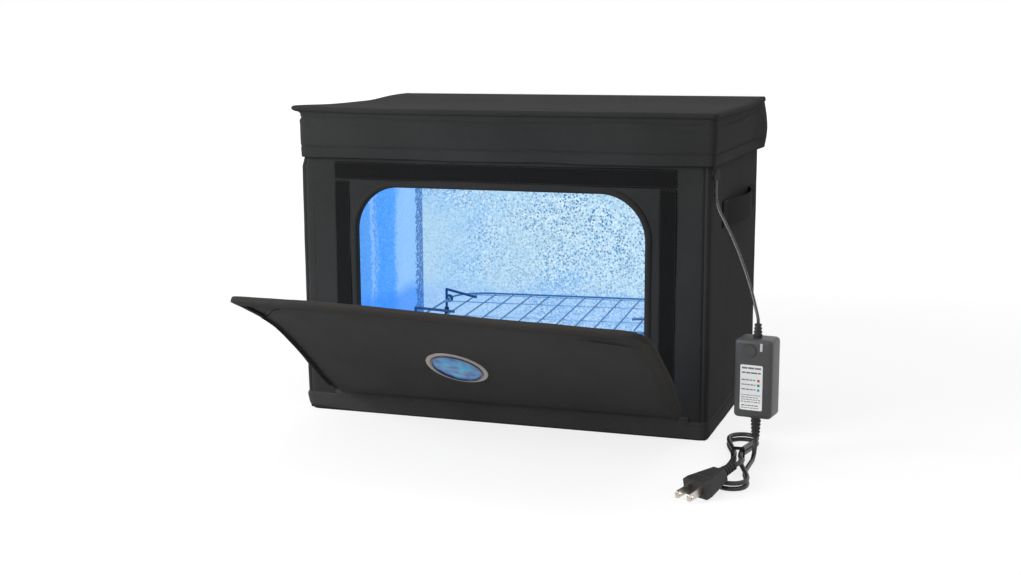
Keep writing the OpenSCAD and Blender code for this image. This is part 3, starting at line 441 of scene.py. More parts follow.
def belly(height):
    """How far the left wall swells near the front, below the lid's skirt."""
    return 0.0056 * np.interp(height, (0.000, 0.012, 0.040, 0.243, 0.255, 0.29),
                              (0.55, 0.85, 1.0, 1.0, 0.35, 0.0))


def swollen(x, y):
    """How much of that swelling a place takes, from 0 to 1, by its distance from the left front."""
    return np.clip((-0.150 - x) / 0.045, 0, 1) ** 2 * np.clip((0.05 - y) / 0.12, 0, 1)


def cut_away(piece, cutter):
    """Cuts the cutter's shape out of the piece, and removes the cutter."""
    cut = piece.modifiers.new("cut", "BOOLEAN")
    cut.operation = "DIFFERENCE"
    cut.object = cutter
    apply_modifiers(piece)
    bpy.data.objects.remove(cutter)


def cut_window(sheet, y):
    """Cuts the window out of a sheet at y, 1 mm wider all round than the trim's opening."""
    size = (2 * (window_half_w + 0.001), 0.01, 2 * (window_half_h + 0.001))
    bpy.ops.mesh.primitive_cube_add(size=1, location=(window_x, y, window_z), scale=size)
    cutter = bpy.context.object
    bpy.ops.object.transform_apply(location=True, rotation=True, scale=True)
    rounding = cutter.modifiers.new("rounding", "BEVEL")
    rounding.width = window_r + 0.001
    rounding.segments = 14
    rounding.limit_method = "WEIGHT"
    weight = cutter.data.attributes.new("bevel_weight_edge", "FLOAT", "EDGE")
    for edge in cutter.data.edges:
        a, b = (cutter.data.vertices[i].co for i in edge.vertices)
        weight.data[edge.index].value = 1.0 if abs(a.y - b.y) > 0.005 else 0.0
    apply_modifiers(cutter)
    cut_away(sheet, cutter)


front, u, v = cloth_grid("cover_front_cloth", 130, 98)
x, z = (u - 0.5) * cover_w, wall_height(v)
fullness = near_edge(u, 0.06) * near_edge(v, 0.06)
rise = fullness * (0.0004 + 0.00035 * puckers(u, v, 11)) - 0.0004 * (1 - near_edge(u, 0.012))
lay_points(front, np.stack([x - belly(z) * swollen(x, -half_d), -half_d - rise, z], 1))
thicken(front, cloth_thick)
cut_window(front, -0.1243)
finish_piece(front, charcoal, "body", "weave", "cover_front")


def round_side(share, front_end, back_end, reach, radius):
    """Plan of a side wall that wraps round both corners: x, y and outward x, y."""
    bend = radius * math.pi / 2
    run = back_end - front_end - 2 * radius
    s = share * (run + 2 * bend)
    a1 = np.clip(s / radius, 0, math.pi / 2)
    a2 = np.clip((s - bend - run) / radius, 0, math.pi / 2)
    y = front_end + radius - radius * np.cos(a1) + np.clip(s - bend, 0, run) + radius * np.sin(a2)
    x = reach - radius + radius * np.sin(a1) - radius + radius * np.cos(a2)
    nx = np.where(a2 > 0, np.cos(a2), np.sin(a1))
    ny = np.where(a2 > 0, np.sin(a2), -np.cos(a1))
    return x, y, nx, ny


for side, name, node in ((1, "cover_right_cloth", "cover_right"), (-1, "cover_left_cloth", "cover_left")):
    panel, u, v = cloth_grid(name, 110, 98)
    run = u if side > 0 else 1 - u
    x, y, nx, ny = round_side(run, -half_d, half_d, half_w, corner_r)
    z = wall_height(v)
    rise = near_edge(run, 0.05) * near_edge(v, 0.06) * (0.0004 + 0.0005 * puckers(run, v, 21 + side))
    rise -= 0.0004 * (1 - near_edge(run, 0.01))
    if side < 0:
        x = x + belly(z) * swollen(-x, y)
    lay_points(panel, np.stack([side * (x + rise * nx), y + rise * ny, z], 1))
    thicken(panel, cloth_thick)
    finish_piece(panel, charcoal, "body", "weave", node)

back, u, v = cloth_grid("cover_back_cloth", 110, 80)
rise = near_edge(u, 0.06) * near_edge(v, 0.06) * (0.0004 + 0.0005 * puckers(u, v, 31))
rise -= 0.0004 * (1 - near_edge(u, 0.012))
lay_points(back, np.stack([(0.5 - u) * cover_w, half_d + rise, wall_height(v)], 1))
thicken(back, cloth_thick)
finish_piece(back, charcoal, "body", "weave", "cover_back")


def round_rect_line(half_x, half_y, radius, share):
    """Point and outward direction at a share of the way round a rectangle with round corners."""
    runs = [2 * (half_x - radius), radius * math.pi / 2, 2 * (half_y - radius), radius * math.pi / 2] * 2
    ends = np.cumsum(runs)
    s = np.mod(share, 1.0) * ends[-1]
    x, y, nx, ny = (np.zeros_like(s) for _ in range(4))
    px, py, way = -(half_x - radius), -half_y, 0.0
    for i, run in enumerate(runs):
        here = (s >= ends[i] - run) & (s <= ends[i] + 1e-12)
        t = s - (ends[i] - run)
        dx, dy = math.cos(way), math.sin(way)
        if i % 2 == 0:
            x[here], y[here] = px + dx * t[here], py + dy * t[here]
            nx[here], ny[here] = dy, -dx
            px, py = px + dx * run, py + dy * run
        else:
            cx, cy = px - dy * radius, py + dx * radius
            a = way + t[here] / radius
            x[here], y[here] = cx + np.sin(a) * radius, cy - np.cos(a) * radius
            nx[here], ny[here] = np.sin(a), -np.cos(a)
            way += math.pi / 2
            px, py = cx + math.sin(way) * radius, cy - math.cos(way) * radius
    return x, y, nx, ny


def close_loop(piece):
    """Joins the two ends of a band that runs right round."""
    select_only(piece)
    bpy.ops.object.mode_set(mode="EDIT")
    bpy.ops.mesh.select_all(action="SELECT")
    bpy.ops.mesh.remove_doubles(threshold=0.00001)
    bpy.ops.object.mode_set(mode="OBJECT")


bottom, u, v = cloth_grid("cover_bottom_cloth", 60, 40)
span_x, span_y = (u - 0.5) * 0.3999, (0.5 - v) * 0.2499
# Its corners are drawn in to the round corners of the walls
past_x, past_y = np.maximum(np.abs(span_x) - 0.195, 0), np.maximum(np.abs(span_y) - 0.120, 0)
pull = np.minimum(1, 0.0049 / np.maximum(np.hypot(past_x, past_y), 0.0001))
span_x -= np.sign(span_x) * past_x * (1 - pull)
span_y -= np.sign(span_y) * past_y * (1 - pull)
lay_points(bottom, np.stack([span_x, span_y, np.zeros_like(u)], 1))
thicken(bottom, cloth_thick)
finish_piece(bottom, tape_black, "body", "weave_dark", "cover_bottom")

# Stitches
# Lock stitches of thick thread, modelled once and set along each seam.
thread_black = cloth_material("sewing_thread", (0.045, 0.045, 0.047), threads=4000, relief=0.3)
bpy.ops.object.select_all(action="DESELECT")
bpy.ops.mesh.primitive_uv_sphere_add(segments=6, ring_count=5, radius=1)
one_stitch = bpy.context.object
stitch_shape = np.array([c.co for c in one_stitch.data.vertices])
stitch_faces = [list(p.vertices) for p in one_stitch.data.polygons]
bpy.data.objects.remove(one_stitch)


def sew(name, body, seams, pitch=0.0034, length=0.0024, radius=0.00032):
    """Stitches along seams. Each is a line of points in metres and its outward direction."""
    points, faces = [], []
    for line, out in seams:
        line = np.array(line, float)
        out = np.broadcast_to(np.array(out, float), line.shape)
        steps = np.linalg.norm(np.diff(line, axis=0), axis=1)
        far = np.concatenate([[0], np.cumsum(steps)])
        count = max(2, int(far[-1] / pitch))
        for s in (np.arange(count) + 0.5) * far[-1] / count:
            i = min(int(np.searchsorted(far, s, side="right")) - 1, len(steps) - 1)
            t = (s - far[i]) / max(steps[i], 1e-9)
            place = line[i] + t * (line[i + 1] - line[i])
            along = (line[i + 1] - line[i]) / max(steps[i], 1e-9)
            up = out[i] - np.dot(out[i], along) * along
            up = up / np.linalg.norm(up)
            sideways = np.cross(up, along)
            start = len(points) * len(stitch_shape)
            points.append(place + stitch_shape @ np.stack(
                [along * length / 2, sideways * radius, up * radius]))
            faces.extend([[start + k for k in face] for face in stitch_faces])
    mesh = bpy.data.meshes.new(name)
    mesh.from_pydata(np.concatenate(points).tolist(), [], faces)
    mesh.shade_smooth()
    piece = bpy.data.objects.new(name, mesh)
    bpy.context.scene.collection.objects.link(piece)
    mesh.materials.append(thread_black)
    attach(piece, body)


seam_y = half_d + 0.0001
sew("corner_stitches", "body", [
    ([(x, way * seam_y, 0.020), (x, way * seam_y, 0.292)], (0, way, 0))
    for way in (-1, 1) for x in (-0.1925, 0.1925)])

# Stiffening boards
# Grey mottled plastic boards between the cover's cloth and the foil, one of them in the lid.


def finish_node(name, material):
    """Gives a CAD node its material."""
    nodes[name].data.materials.clear()
    nodes[name].data.materials.append(material)


def colour_ramp(tree, share, stops):
    """Colour read at a share from stops, which are places from 0 to 1 and their colours."""
    node = tree.nodes.new("ShaderNodeValToRGB")
    knots = node.color_ramp.elements
    for knot, (position, colour) in zip(knots, (stops[0], stops[-1])):
        knot.position = position
        knot.color = (*colour, 1)
    for position, colour in stops[1:-1]:
        knots.new(position).color = (*colour, 1)
    feed(tree, node, {"Fac": share})
    return node.outputs["Color"]


board_grey, tree, skin = new_material("board_plastic")
mottle = noise(tree, tree.nodes.new("ShaderNodeTexCoord"), 300)
greys = colour_ramp(tree, mottle, ((0.0, (0.045, 0.045, 0.05)), (1.0, (0.075, 0.075, 0.08))))
feed(tree, skin, {"Base Color": greys, "Roughness": 0.6})
for name in ("board_front", "board_back", "board_left", "board_right", "board_bottom", "lid_board"):
    finish_node(name, board_grey)

# Foil lining
# Laminated foil, pebbled on the back, floor and lid, and drawn into soft upright creases on the
# sides. The lamp's blue light on it is painted as a glow, with painted highlights and shade.


def mixed(tree, share, first, second):
    """The first colour, turning into the second as the share goes from 0 to 1."""
    node = tree.nodes.new("ShaderNodeMix")
    node.data_type = "RGBA"
    feed(tree, node, {"A": first, "B": (*second, 1), "Factor": share})
    return node.outputs["Result"]


def foil_material(name, painted_light_tones, folds):
    """Foil glowing with the lamp's painted light: pale near the lamp, bluer away from it, over fine pebbles
    or folds.
    """
    foil, tree, skin = new_material(name)
    place = tree.nodes.new("ShaderNodeTexCoord")
    at = tree.nodes.new("ShaderNodeSeparateXYZ")
    feed(tree, at, {0: place.outputs["Object"]})
    x, y, z = at.outputs
    drift = maths(tree, "SUBTRACT", noise(tree, place, 14, detail=4), 0.5)
    if folds:
        # Upright folds: painted light and shade of the creases, in bands from the front edge to the back edge
        crumple = maths(tree, "SUBTRACT", noise(tree, place, 230), 0.5)
        run = maths(tree, "MULTIPLY_ADD", y, 1 / (2 * foil_y), 0.5)
        run = maths(tree, "MULTIPLY_ADD", crumple, 0.075, run)
        tone = maths(tree, "MULTIPLY_ADD", drift, 0.07, run)
        low_z, low_edge, low_share, painted_low_shade, speck_share = 0.098, 60, 0.75, (0.020, 0.230, 0.98), 0.35
    else:
        # Pebbles: a painted pool of light, bright high in the middle and bluer away from it
        away_x = maths(tree, "MULTIPLY", x, 2.2)
        away_z = maths(tree, "MULTIPLY", maths(tree, "SUBTRACT", z, 0.215), 2.6)
        away = maths(tree, "MULTIPLY_ADD", away_x, away_x, maths(tree, "MULTIPLY", away_z, away_z))
        tone = maths(tree, "MULTIPLY_ADD", drift, 1.5, maths(tree, "SQRT", away))
        low_z, low_edge, low_share, painted_low_shade, speck_share = 0.093, 70, 0.55, (0.34, 0.56, 0.90), 1.0
    # Low on the walls the painted light turns bluer and darker: painted shade
    low = maths(tree, "MULTIPLY_ADD", drift, 0.03, maths(tree, "SUBTRACT", low_z, z))
    low = maths(tree, "MULTIPLY", low, low_edge, clamp=True)
    colour = mixed(tree, maths(tree, "MULTIPLY", low, low_share), colour_ramp(tree, tone, painted_light_tones), painted_low_shade)
    # Painted highlights and painted shade: bright and dark specks on two sets of pebbles, stronger in some
    # patches than in others
    patch = maths(tree, "MULTIPLY_ADD", noise(tree, place, 30), 1.2, 0.3)
    strong = rescale(tree, maths(tree, "MULTIPLY_ADD", drift, 0.35, x), -0.150, -0.030, to_low=0.35)
    force = maths(tree, "MULTIPLY", maths(tree, "MULTIPLY", strong, patch), speck_share)
    # Near the floor the painted highlights and shade of the pebbles show less
    force = maths(tree, "MULTIPLY", force, rescale(tree, z, 0.080, 0.110, to_low=0.5))
    if folds:
        # A broken dark strip runs up the back edge
        seam = maths(tree, "MULTIPLY", maths(tree, "GREATER_THAN", run, 0.900),
                     maths(tree, "GREATER_THAN", noise(tree, place, 300), 0.42))
        colour = mixed(tree, maths(tree, "MULTIPLY", seam, 0.85), colour, (0.012, 0.085, 0.30))
    lift = None
    for shift, chance_over, painted_speck_colour, size in (
            (0.0, 0.10, (0.80, 0.96, 1.0), 0.73), (0.37, 0.30, (0.050, 0.180, 0.36), 0.64)):
        moved = tree.nodes.new("ShaderNodeVectorMath")
        feed(tree, moved, {0: place.outputs["Object"], 1: (shift, shift, shift)})
        pebble = tree.nodes.new("ShaderNodeTexVoronoi")
        feed(tree, pebble, {"Vector": moved.outputs[0], "Scale": 430})
        pick = tree.nodes.new("ShaderNodeSeparateColor")
        feed(tree, pick, {0: pebble.outputs["Color"]})
        near = rescale(tree, pebble.outputs["Distance"], size, 0.28, ease="SMOOTHSTEP")
        chosen = maths(tree, "MULTIPLY", near, maths(tree, "GREATER_THAN", pick.outputs[0], chance_over))
        chosen = maths(tree, "MULTIPLY", chosen, maths(tree, "MULTIPLY_ADD", pick.outputs[1], 0.6, 0.4))
        share = maths(tree, "MULTIPLY", chosen, force)
        colour = mixed(tree, maths(tree, "MINIMUM", share, 1.0), colour, painted_speck_colour)
        lift = share if lift is None else maths(tree, "SUBTRACT", lift, share)
    # The foil's colour is laid on as a glow over a dark base: painted light of the lamp
    feed(tree, skin, {
        "Emission Color": colour, "Emission Strength": 0.97, "Base Color": (0.02, 0.05, 0.10, 1),
        "Specular IOR Level": 0.2, "Roughness": 0.4, "Normal": bumped(tree, lift, 0.0008, 0.5)})
    return foil


foil_x, foil_y, foil_z, foil_h, foil_thick = 0.1958, 0.1208, 0.0042, 0.2896, 0.0005
# The pebbled foil's painted tones, from the bright place outward
pebbled_foil_painted_glow = foil_material("pebbled_foil_painted_glow", (
    (0.0, (0.46, 0.69, 0.80)), (0.30, (0.42, 0.66, 0.84)), (0.55, (0.31, 0.57, 0.86)),
    (1.0, (0.14, 0.40, 0.85))), False)
# The side foil's painted tones: light and shade in bands over its upright creases
creased_foil_painted_glow = foil_material("creased_foil_painted_glow", (
    (0.0, (0.060, 0.300, 0.90)), (0.375, (0.090, 0.340, 0.90)), (0.388, (0.22, 0.49, 0.95)),
    (0.400, (0.22, 0.49, 0.95)), (0.413, (0.055, 0.290, 0.84)), (0.500, (0.075, 0.320, 0.88)),
    (0.514, (0.20, 0.46, 0.95)), (0.532, (0.18, 0.45, 0.95)), (0.538, (0.03, 0.18, 0.66)),
    (0.545, (0.16, 0.43, 0.95)), (0.566, (0.045, 0.30, 0.96)), (0.690, (0.055, 0.32, 0.95)),
    (0.725, (0.25, 0.51, 0.96)), (0.820, (0.27, 0.53, 0.96)), (0.935, (0.24, 0.50, 0.94)),
    (0.955, (0.14, 0.38, 0.80)), (0.985, (0.20, 0.46, 0.86)), (1.0, (0.05, 0.20, 0.62))), True)


def foil_sheet(name, node, corner, along, up, columns, rows, material, seed, depth, creases, body="body"):
    """A foil sheet from a corner along two edges, puckered on its open face."""
    piece, u, v = cloth_grid(name, columns, rows)
    corner, along, up = (np.array(p, float) for p in (corner, along, up))
    out = np.cross(along, up)
    out /= np.linalg.norm(out)
    swell = near_edge(u, 0.04) * near_edge(v, 0.05)
    rise = depth * swell * (0.5 + 0.5 * puckers(u, v, seed, fastest=6))
    rise += creases * swell * np.clip(puckers(u, 0.15 * v, seed + 1, waves=7, fastest=8), 0, 1)
    if node == "lining_left":
        # Near the back corner the sheet stands off the wall in one wide fold
        let_go = 1 - np.clip((u - 0.985) / 0.015, 0, 1)
        rise += 0.0185 * soft_step((u - 0.25) / 0.70) * near_edge(v, 0.16) * let_go
    lay_points(piece, corner + u[:, None] * along + v[:, None] * up + rise[:, None] * out)
    thicken(piece, foil_thick)
    finish_piece(piece, material, body, "foil", node)


foil_sheet("back_foil", "lining_back", (-foil_x, foil_y, foil_z), (2 * foil_x, 0, 0), (0, 0, foil_h),
           120, 90, pebbled_foil_painted_glow, 41, 0.0006, 0)
foil_sheet("left_foil", "lining_left", (-foil_x, -foil_y, foil_z), (0, 2 * foil_y, 0), (0, 0, foil_h),
           130, 70, creased_foil_painted_glow, 42, 0.0004, 0.0006)
foil_sheet("right_foil", "lining_right", (foil_x, foil_y, foil_z), (0, -2 * foil_y, 0), (0, 0, foil_h),
           110, 70, creased_foil_painted_glow, 44, 0.0004, 0.0004)
foil_sheet("floor_foil", "lining_bottom", (-0.1964, -0.1214, foil_z), (0.3928, 0, 0), (0, 0.2428, 0),
           110, 80, pebbled_foil_painted_glow, 46, 0.00008, 0)
foil_sheet("lid_foil", "lid_lining", (-0.1950, 0.1200, 0.2961), (0.3900, 0, 0), (0, -0.2400, 0),
           110, 80, pebbled_foil_painted_glow, 47, 0.00008, 0, body="lid")
front_foil, u, v = cloth_grid("front_foil", 100, 76)
lay_points(front_foil, np.stack([(0.5 - u) * 2 * foil_x, np.full_like(u, -0.1207), foil_z + v * foil_h], 1))
thicken(front_foil, foil_thick)
cut_window(front_foil, -foil_y)
finish_piece(front_foil, creased_foil_painted_glow, "body", "foil", "lining_front")

# Rim and window bindings
# Grosgrain tape folded over the raw edges of the walls and of the window.
rim, u, v = cloth_grid("rim_tape", 320, 12)
x, y, nx, ny = round_rect_line(half_w, half_d, corner_r, u)
turn = v * math.pi
inward = 0.0021 * (1 - np.cos(turn))
lay_points(rim, np.stack([x - nx * inward, y - ny * inward, wall_top + 0.0013 * np.sin(turn)], 1))
close_loop(rim)
thicken(rim, 0.0005)
finish_piece(rim, tape_black, "body", "weave_dark", "rim_binding")


def along_section(section, share):
    """The two measures of a section, given by points at even steps, at a share of the way along."""
    spot, steps = share * (len(section) - 1), np.arange(len(section))
    first, second = np.array(section).T
    return np.interp(spot, steps, first), np.interp(spot, steps, second)


# Section of the trim, outward from the opening and into the wall: from inside the wall,
# through the window, and over the face
trim_section = ((-0.0002, 0.0048), (-0.0003, 0.0030), (-0.0003, 0.0010), (-0.0001, -0.0004),
                (0.0005, -0.0014), (0.0015, -0.0021), (0.0030, -0.0023), (0.0045, -0.0020),
                (0.0055, -0.0013), (0.0060, -0.0003), (0.0061, 0.0002))
trim, u, v = cloth_grid("window_trim", 360, 20)
x, z, nx, nz = round_rect_line(window_half_w, window_half_h, window_r, u)
out, deep = along_section(trim_section, v)
deep = deep - 0.00015 * puckers(u, v, 51, fastest=40) * (deep < 0)
lay_points(trim, np.stack([x + window_x + nx * out, -half_d + deep, window_z + z + nz * out], 1))
close_loop(trim)
finish_piece(trim, cloth_material("window_tape", (0.034, 0.033, 0.033), threads=1000, relief=0.7),
             "body", "weave_dark", "window_binding")
seam_in = 0.0050
x, z, nx, nz = round_rect_line(window_half_w + seam_in, window_half_h + seam_in, window_r + seam_in,
                               np.linspace(0, 1, 400))
sew("window_stitches", "body", [
    (np.stack([x + window_x, np.full_like(x, -half_d - 0.0017), window_z + z], 1), (0, -1, 0))])

# Foot band and welt
# A doubled band is sewn round the foot, and the flap's cloth hinge is let into its welt.
band, u, v = cloth_grid("foot_band", 420, 16)
x, y, nx, ny = round_rect_line(half_w, half_d, corner_r, u)
out = 0.0012 + 0.0004 * np.sin(v * math.pi) + 0.00025 * puckers(u * 6, v, 61, fastest=12)
out = np.where((v < 0.03) | (v > 0.97), 0.0001, out)
z = 0.0008 + v * 0.0164
# At the front left corner its foot is lifted a little
lifted = 0.0026 * np.exp(-(((x + half_w) / 0.03) ** 2 + ((y + half_d) / 0.03) ** 2)) * (1 - v)
lay_points(band, np.stack([x + nx * out - belly(z) * swollen(x, y), y + ny * out, z + lifted], 1))
close_loop(band)
# The foot band's cloth is given a lighter colour: painted light where the flap shades it. The welt and the
# flap's hinge use it too.
foot_cloth_painted_light = cloth_material("foot_polyester_painted_light", (0.056, 0.056, 0.056), threads=900, cloudiness=0.8, relief=0.8)
finish_piece(band, foot_cloth_painted_light, "body", "weave", "hem_band")
proud = 0.0016
x, y, nx, ny = round_rect_line(half_w + proud, half_d + proud, corner_r + proud, np.linspace(0, 1, 500))
sew("foot_stitches", "body", [
    (np.stack([x - 0.0048 * swollen(x, y), y, np.full_like(x, 0.0140)], 1), np.stack([nx, ny, 0 * nx], 1))])
welt, u, v = cloth_grid("flap_welt", 160, 10)
turn = v * math.pi
lay_points(welt, np.stack([0.005 + (u - 0.5) * 0.356,
                           -half_d - 0.0022 * np.sin(turn) - 0.0001 * puckers(u * 4, v, 63),
                           0.0120 + 0.0095 * (1 - np.cos(turn)) / 2], 1))
finish_piece(welt, foot_cloth_painted_light, "body", "weave_dark")

# Loop tape
# Black loop tape sewn above the window and down its sides takes the flap's hooks.
fuzz_black = cloth_material("loop_tape", (0.0130, 0.0130, 0.0133), threads=700, cloudiness=0.3,
                            relief=1.0, sheen=0.02)
selvedge = 0.0016
for name, x0, x1, z0, z1, cad in (
        ("loop_tape_top", -0.170, 0.170, 0.2312, 0.2492, ("loop_strip_top",)),
        ("loop_tape_left", -0.170, -0.153, 0.048, 0.2312, ("loop_strips_side",)),
        ("loop_tape_right", 0.153, 0.170, 0.048, 0.2312, ())):
    tape, u, v = cloth_grid(name, max(14, int((x1 - x0) * 500)), max(14, int((z1 - z0) * 500)))
    chance = np.random.default_rng(len(name))
    full = near_edge(u, selvedge / (x1 - x0)) * near_edge(v, selvedge / (z1 - z0))
    rise = 0.0001 + full * (0.0010 + 0.00018 * chance.standard_normal(len(u)))
    lay_points(tape, np.stack([x0 + u * (x1 - x0), -half_d - rise, z0 + v * (z1 - z0)], 1))
    finish_piece(tape, fuzz_black, "body", "hook_loop", *cad)
    left, right, foot, head = x0 + selvedge, x1 - selvedge, z0 + selvedge, z1 - selvedge
    corners = [(left, foot), (right, foot), (right, head), (left, head), (left, foot)]
    sew(name + "_stitches", "body", [
        ([(a[0], -half_d - 0.0012, a[1]), (b[0], -half_d - 0.0012, b[1])], (0, -1, 0))
        for a, b in zip(corners, corners[1:])], pitch=0.003)

# Handles
# Ribbed webbing carrying straps, one on each side wall, sewn down flat at both ends.
webbing = cloth_material("strap_webbing", (0.027, 0.027, 0.027), threads=600, relief=1.0)
strap_half, strap_end, strap_out, strap_y, strap_z = 0.084, 0.024, 0.0094, 0.014, 0.203
for side, name, node in ((1, "right_strap", "handle_right"), (-1, "left_strap", "handle_left")):
    strap, u, v = cloth_grid(name, 120, 14)
    run = (u - 0.5) * 2 * strap_half * side
    free = np.clip(1 - (np.abs(run) / (strap_half - strap_end)) ** 2, 0, 1)
    out = strap_out * free + 0.0017 + 0.00012 * np.sin(v * math.pi * 10)
    width = 0.025 * (1 - 0.04 * free)
    lay_points(strap, np.stack([side * (half_w + out), strap_y + run, strap_z + (v - 0.5) * width], 1))
    thicken(strap, 0.0014)
    finish_piece(strap, webbing, "body", "webbing", node)
    seams = []
    for end in (-1, 1):
        y0 = strap_y + end * (strap_half - 0.002)
        y1 = strap_y + end * (strap_half - strap_end + 0.002)
        z0, z1 = strap_z - 0.0105, strap_z + 0.0105
        box = [(y0, z0), (y1, z0), (y1, z1), (y0, z1), (y0, z0), (y1, z1), (y1, z0), (y0, z1)]
        x = side * (half_w + 0.0019)
        seams += [([(x, *a), (x, *b)], (side, 0, 0)) for a, b in zip(box, box[1:])]
    sew(name + "_stitches", "body", seams, pitch=0.003)

# Lid
# Lined board under a tight woven top with a corded edge. A doubled skirt hangs on three
# sides, with a crease under the cord and a folded hem, and a cloth hinge joins the back.
lid_x, lid_front, lid_back, lid_top = 0.2040, -0.1290, 0.1274, 0.3000


def lid_shape(points):
    """Draws the front left corner out, the back left one in, and lifts the back edge a little."""
    p = np.array(points, float)
    near = np.exp(-(((p[:, 0] + lid_x) / 0.055) ** 2 + ((p[:, 1] - lid_front) / 0.055) ** 2))
    high = np.clip((p[:, 2] - 0.262) / 0.036, 0, 1)
    rear = np.clip((p[:, 1] - 0.030) / 0.095, 0, 1)
    edge = np.clip((p[:, 2] - 0.2925) / 0.004, 0, 1)
    round_off = np.exp(-(((p[:, 0] + lid_x) / 0.030) ** 2 + ((p[:, 1] - lid_back) / 0.030) ** 2))
    p[:, 0] += (0.0075 * round_off - 0.0048 * near) * edge
    p[:, 1] -= 0.0026 * near * edge
    p[:, 2] += 0.0042 * rear * rear * (3 - 2 * rear) * high * high + 0.0022 * near * high
    return p


top, u, v = cloth_grid("lid_top_cloth", 110, 80)
x = (u - 0.5) * 2 * lid_x
y = lid_front + v * (lid_back - lid_front)
sag = near_edge(u, 0.08) * near_edge(v, 0.1)
z = lid_top - 0.0002 - 0.0005 * sag + 0.0003 * sag * puckers(u, v, 71)
lay_points(top, lid_shape(np.stack([x, y, z], 1)))
thicken(top, 0.0010)
finish_piece(top, charcoal, "lid", "weave", "lid_cover")

lip_r = 0.0028
lip_z = lid_top - lip_r
left_half = [(-lid_x, lid_back), (-lid_x, lid_back - 0.03), (-lid_x, 0.05), (-lid_x, -0.05),
             (-lid_x, lid_front + 0.012), (-lid_x - 0.0004, lid_front + 0.003),
             (-lid_x + 0.001, lid_front - 0.0003), (-lid_x + 0.006, lid_front), (-0.1, lid_front)]
lip_line = [*left_half, (0, lid_front), *((-x, y) for x, y in reversed(left_half))]
lip = round_cord("lid_cord_edge", [(x, y, lip_z) for x, y in lip_line], lip_r, "NURBS")
lay_points(lip, lid_shape([c.co for c in lip.data.vertices]))
finish_piece(lip, charcoal, "lid", "weave")

skirt, u, v = cloth_grid("lid_skirt_cloth", 420, 60)
skirt_bottom, skirt_top, skirt_r = 0.252, 0.2984, 0.005
run_side, run_front, bend = lid_back - lid_front - skirt_r, 2 * (lid_x - skirt_r), skirt_r * math.pi / 2
s = u * (2 * run_side + run_front + 2 * bend)
a1 = np.clip((s - run_side) / skirt_r, 0, math.pi / 2)
a2 = np.clip((s - run_side - bend - run_front) / skirt_r, 0, math.pi / 2)
front_run = np.clip(s - run_side - bend, 0, run_front)
last_run = np.clip(s - run_side - 2 * bend - run_front, 0, run_side)
x = -lid_x + skirt_r * (1 - np.cos(a1)) + front_run + skirt_r * np.sin(a2)
y = lid_back - np.clip(s, 0, run_side) - skirt_r * (np.sin(a1) + np.cos(a2) - 1) + last_run
nx = np.where(a2 > 0, np.sin(a2), -np.cos(a1))
ny = np.where(a2 > 0, -np.cos(a2), -np.sin(a1))
z = skirt_bottom + v * (skirt_top - skirt_bottom)
ends = np.clip(np.minimum(u, 1 - u) / 0.02, 0, 1)
bulge = 0.0010 * np.sin(math.pi * v) * ends
wave = 0.2885 + 0.0014 * np.sin(7 * u * math.pi) + 0.0006 * np.sin(23 * u * math.pi)
crease = -0.0016 * np.exp(-((z - wave) / 0.0011) ** 2)
crease += 0.0008 * np.exp(-((z - wave + 0.0035) / 0.0025) ** 2)
crease -= 0.0011 * np.exp(-((z - 0.2625) / 0.0008) ** 2)
crease *= soft_step(ends * 0.6)
ripple = 0.0007 * puckers(u * 3, v * 0.4, 73, fastest=5) * (1 - v)
# The rear ends of the side skirts belly out where the cloth is gathered
gather = np.where(u > 0.5, 0.0056, 0.0030) * np.exp(-((np.minimum(u, 1 - u) - 0.012) / 0.035) ** 2)
gather *= np.sin(math.pi * np.clip(v * 0.8 + 0.15, 0, 1))
rise = bulge + crease + ripple + gather
lay_points(skirt, lid_shape(np.stack([x + nx * rise, y + ny * rise,
                                      z + 0.0008 * puckers(u * 2, 0 * v, 75) * (1 - v)], 1)))
thicken(skirt, 0.0015)
finish_piece(skirt, charcoal, "lid", "weave", "lid_skirt")
seam_x, seam_y, seam_z = lid_x + 0.0012, lid_front - 0.0010, 0.2628
sew("skirt_stitches", "lid", [
    ([(-seam_x, 0.120, seam_z), (-seam_x, -0.124, seam_z)], (-1, 0, 0)),
    ([(-0.198, seam_y, seam_z), (0.198, seam_y, seam_z)], (0, -1, 0)),
    ([(seam_x, -0.124, seam_z), (seam_x, 0.120, seam_z)], (1, 0, 0))])

lid_hinge, u, v = cloth_grid("lid_hinge_cloth", 120, 24)
y, z = along_section(((0.1254, 0.2700), (0.1258, 0.2800), (0.1266, 0.2890), (0.1276, 0.2930),
                      (0.1283, 0.2960), (0.1283, 0.3000), (0.1278, 0.3026)), v)
lay_points(lid_hinge, np.stack([(0.5 - u) * 0.386, y, z], 1))
thicken(lid_hinge, 0.0008)
lid_hinge.data.materials.append(charcoal)
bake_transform(lid_hinge)

# Flap
# Cloth-covered board with taped edges, hung from the welt by a cloth hinge. Foil faces in,
# and hook tape on it meets the loop tape when the flap is shut.
hinge_y, hinge_z, flap_l = -0.1279, 0.022, 0.220
flap_up = math.radians(33)
flap_along = np.array([0, -math.cos(flap_up), math.sin(flap_up)])
flap_out = np.array([0, -math.sin(flap_up), -math.cos(flap_up)])
# The left edge is drawn in at its middle and ends in a pointed corner
left_along = (0.000, 0.020, 0.046, 0.090, 0.122, 0.153, 0.174, 0.190, 0.203, 0.214, 0.228)
left_across = (-0.168, -0.170, -0.1685, -0.164, -0.162, -0.1605, -0.1605, -0.1635, -0.168, -0.173,
               -0.180)


def eased(value, knots, levels, ease=0.006):
    """Levels between knots, with the bends at the knots rounded."""
    return sum(np.interp(value + k * ease / 2, knots, levels) for k in (-2, -1, 0, 1, 2)) / 5


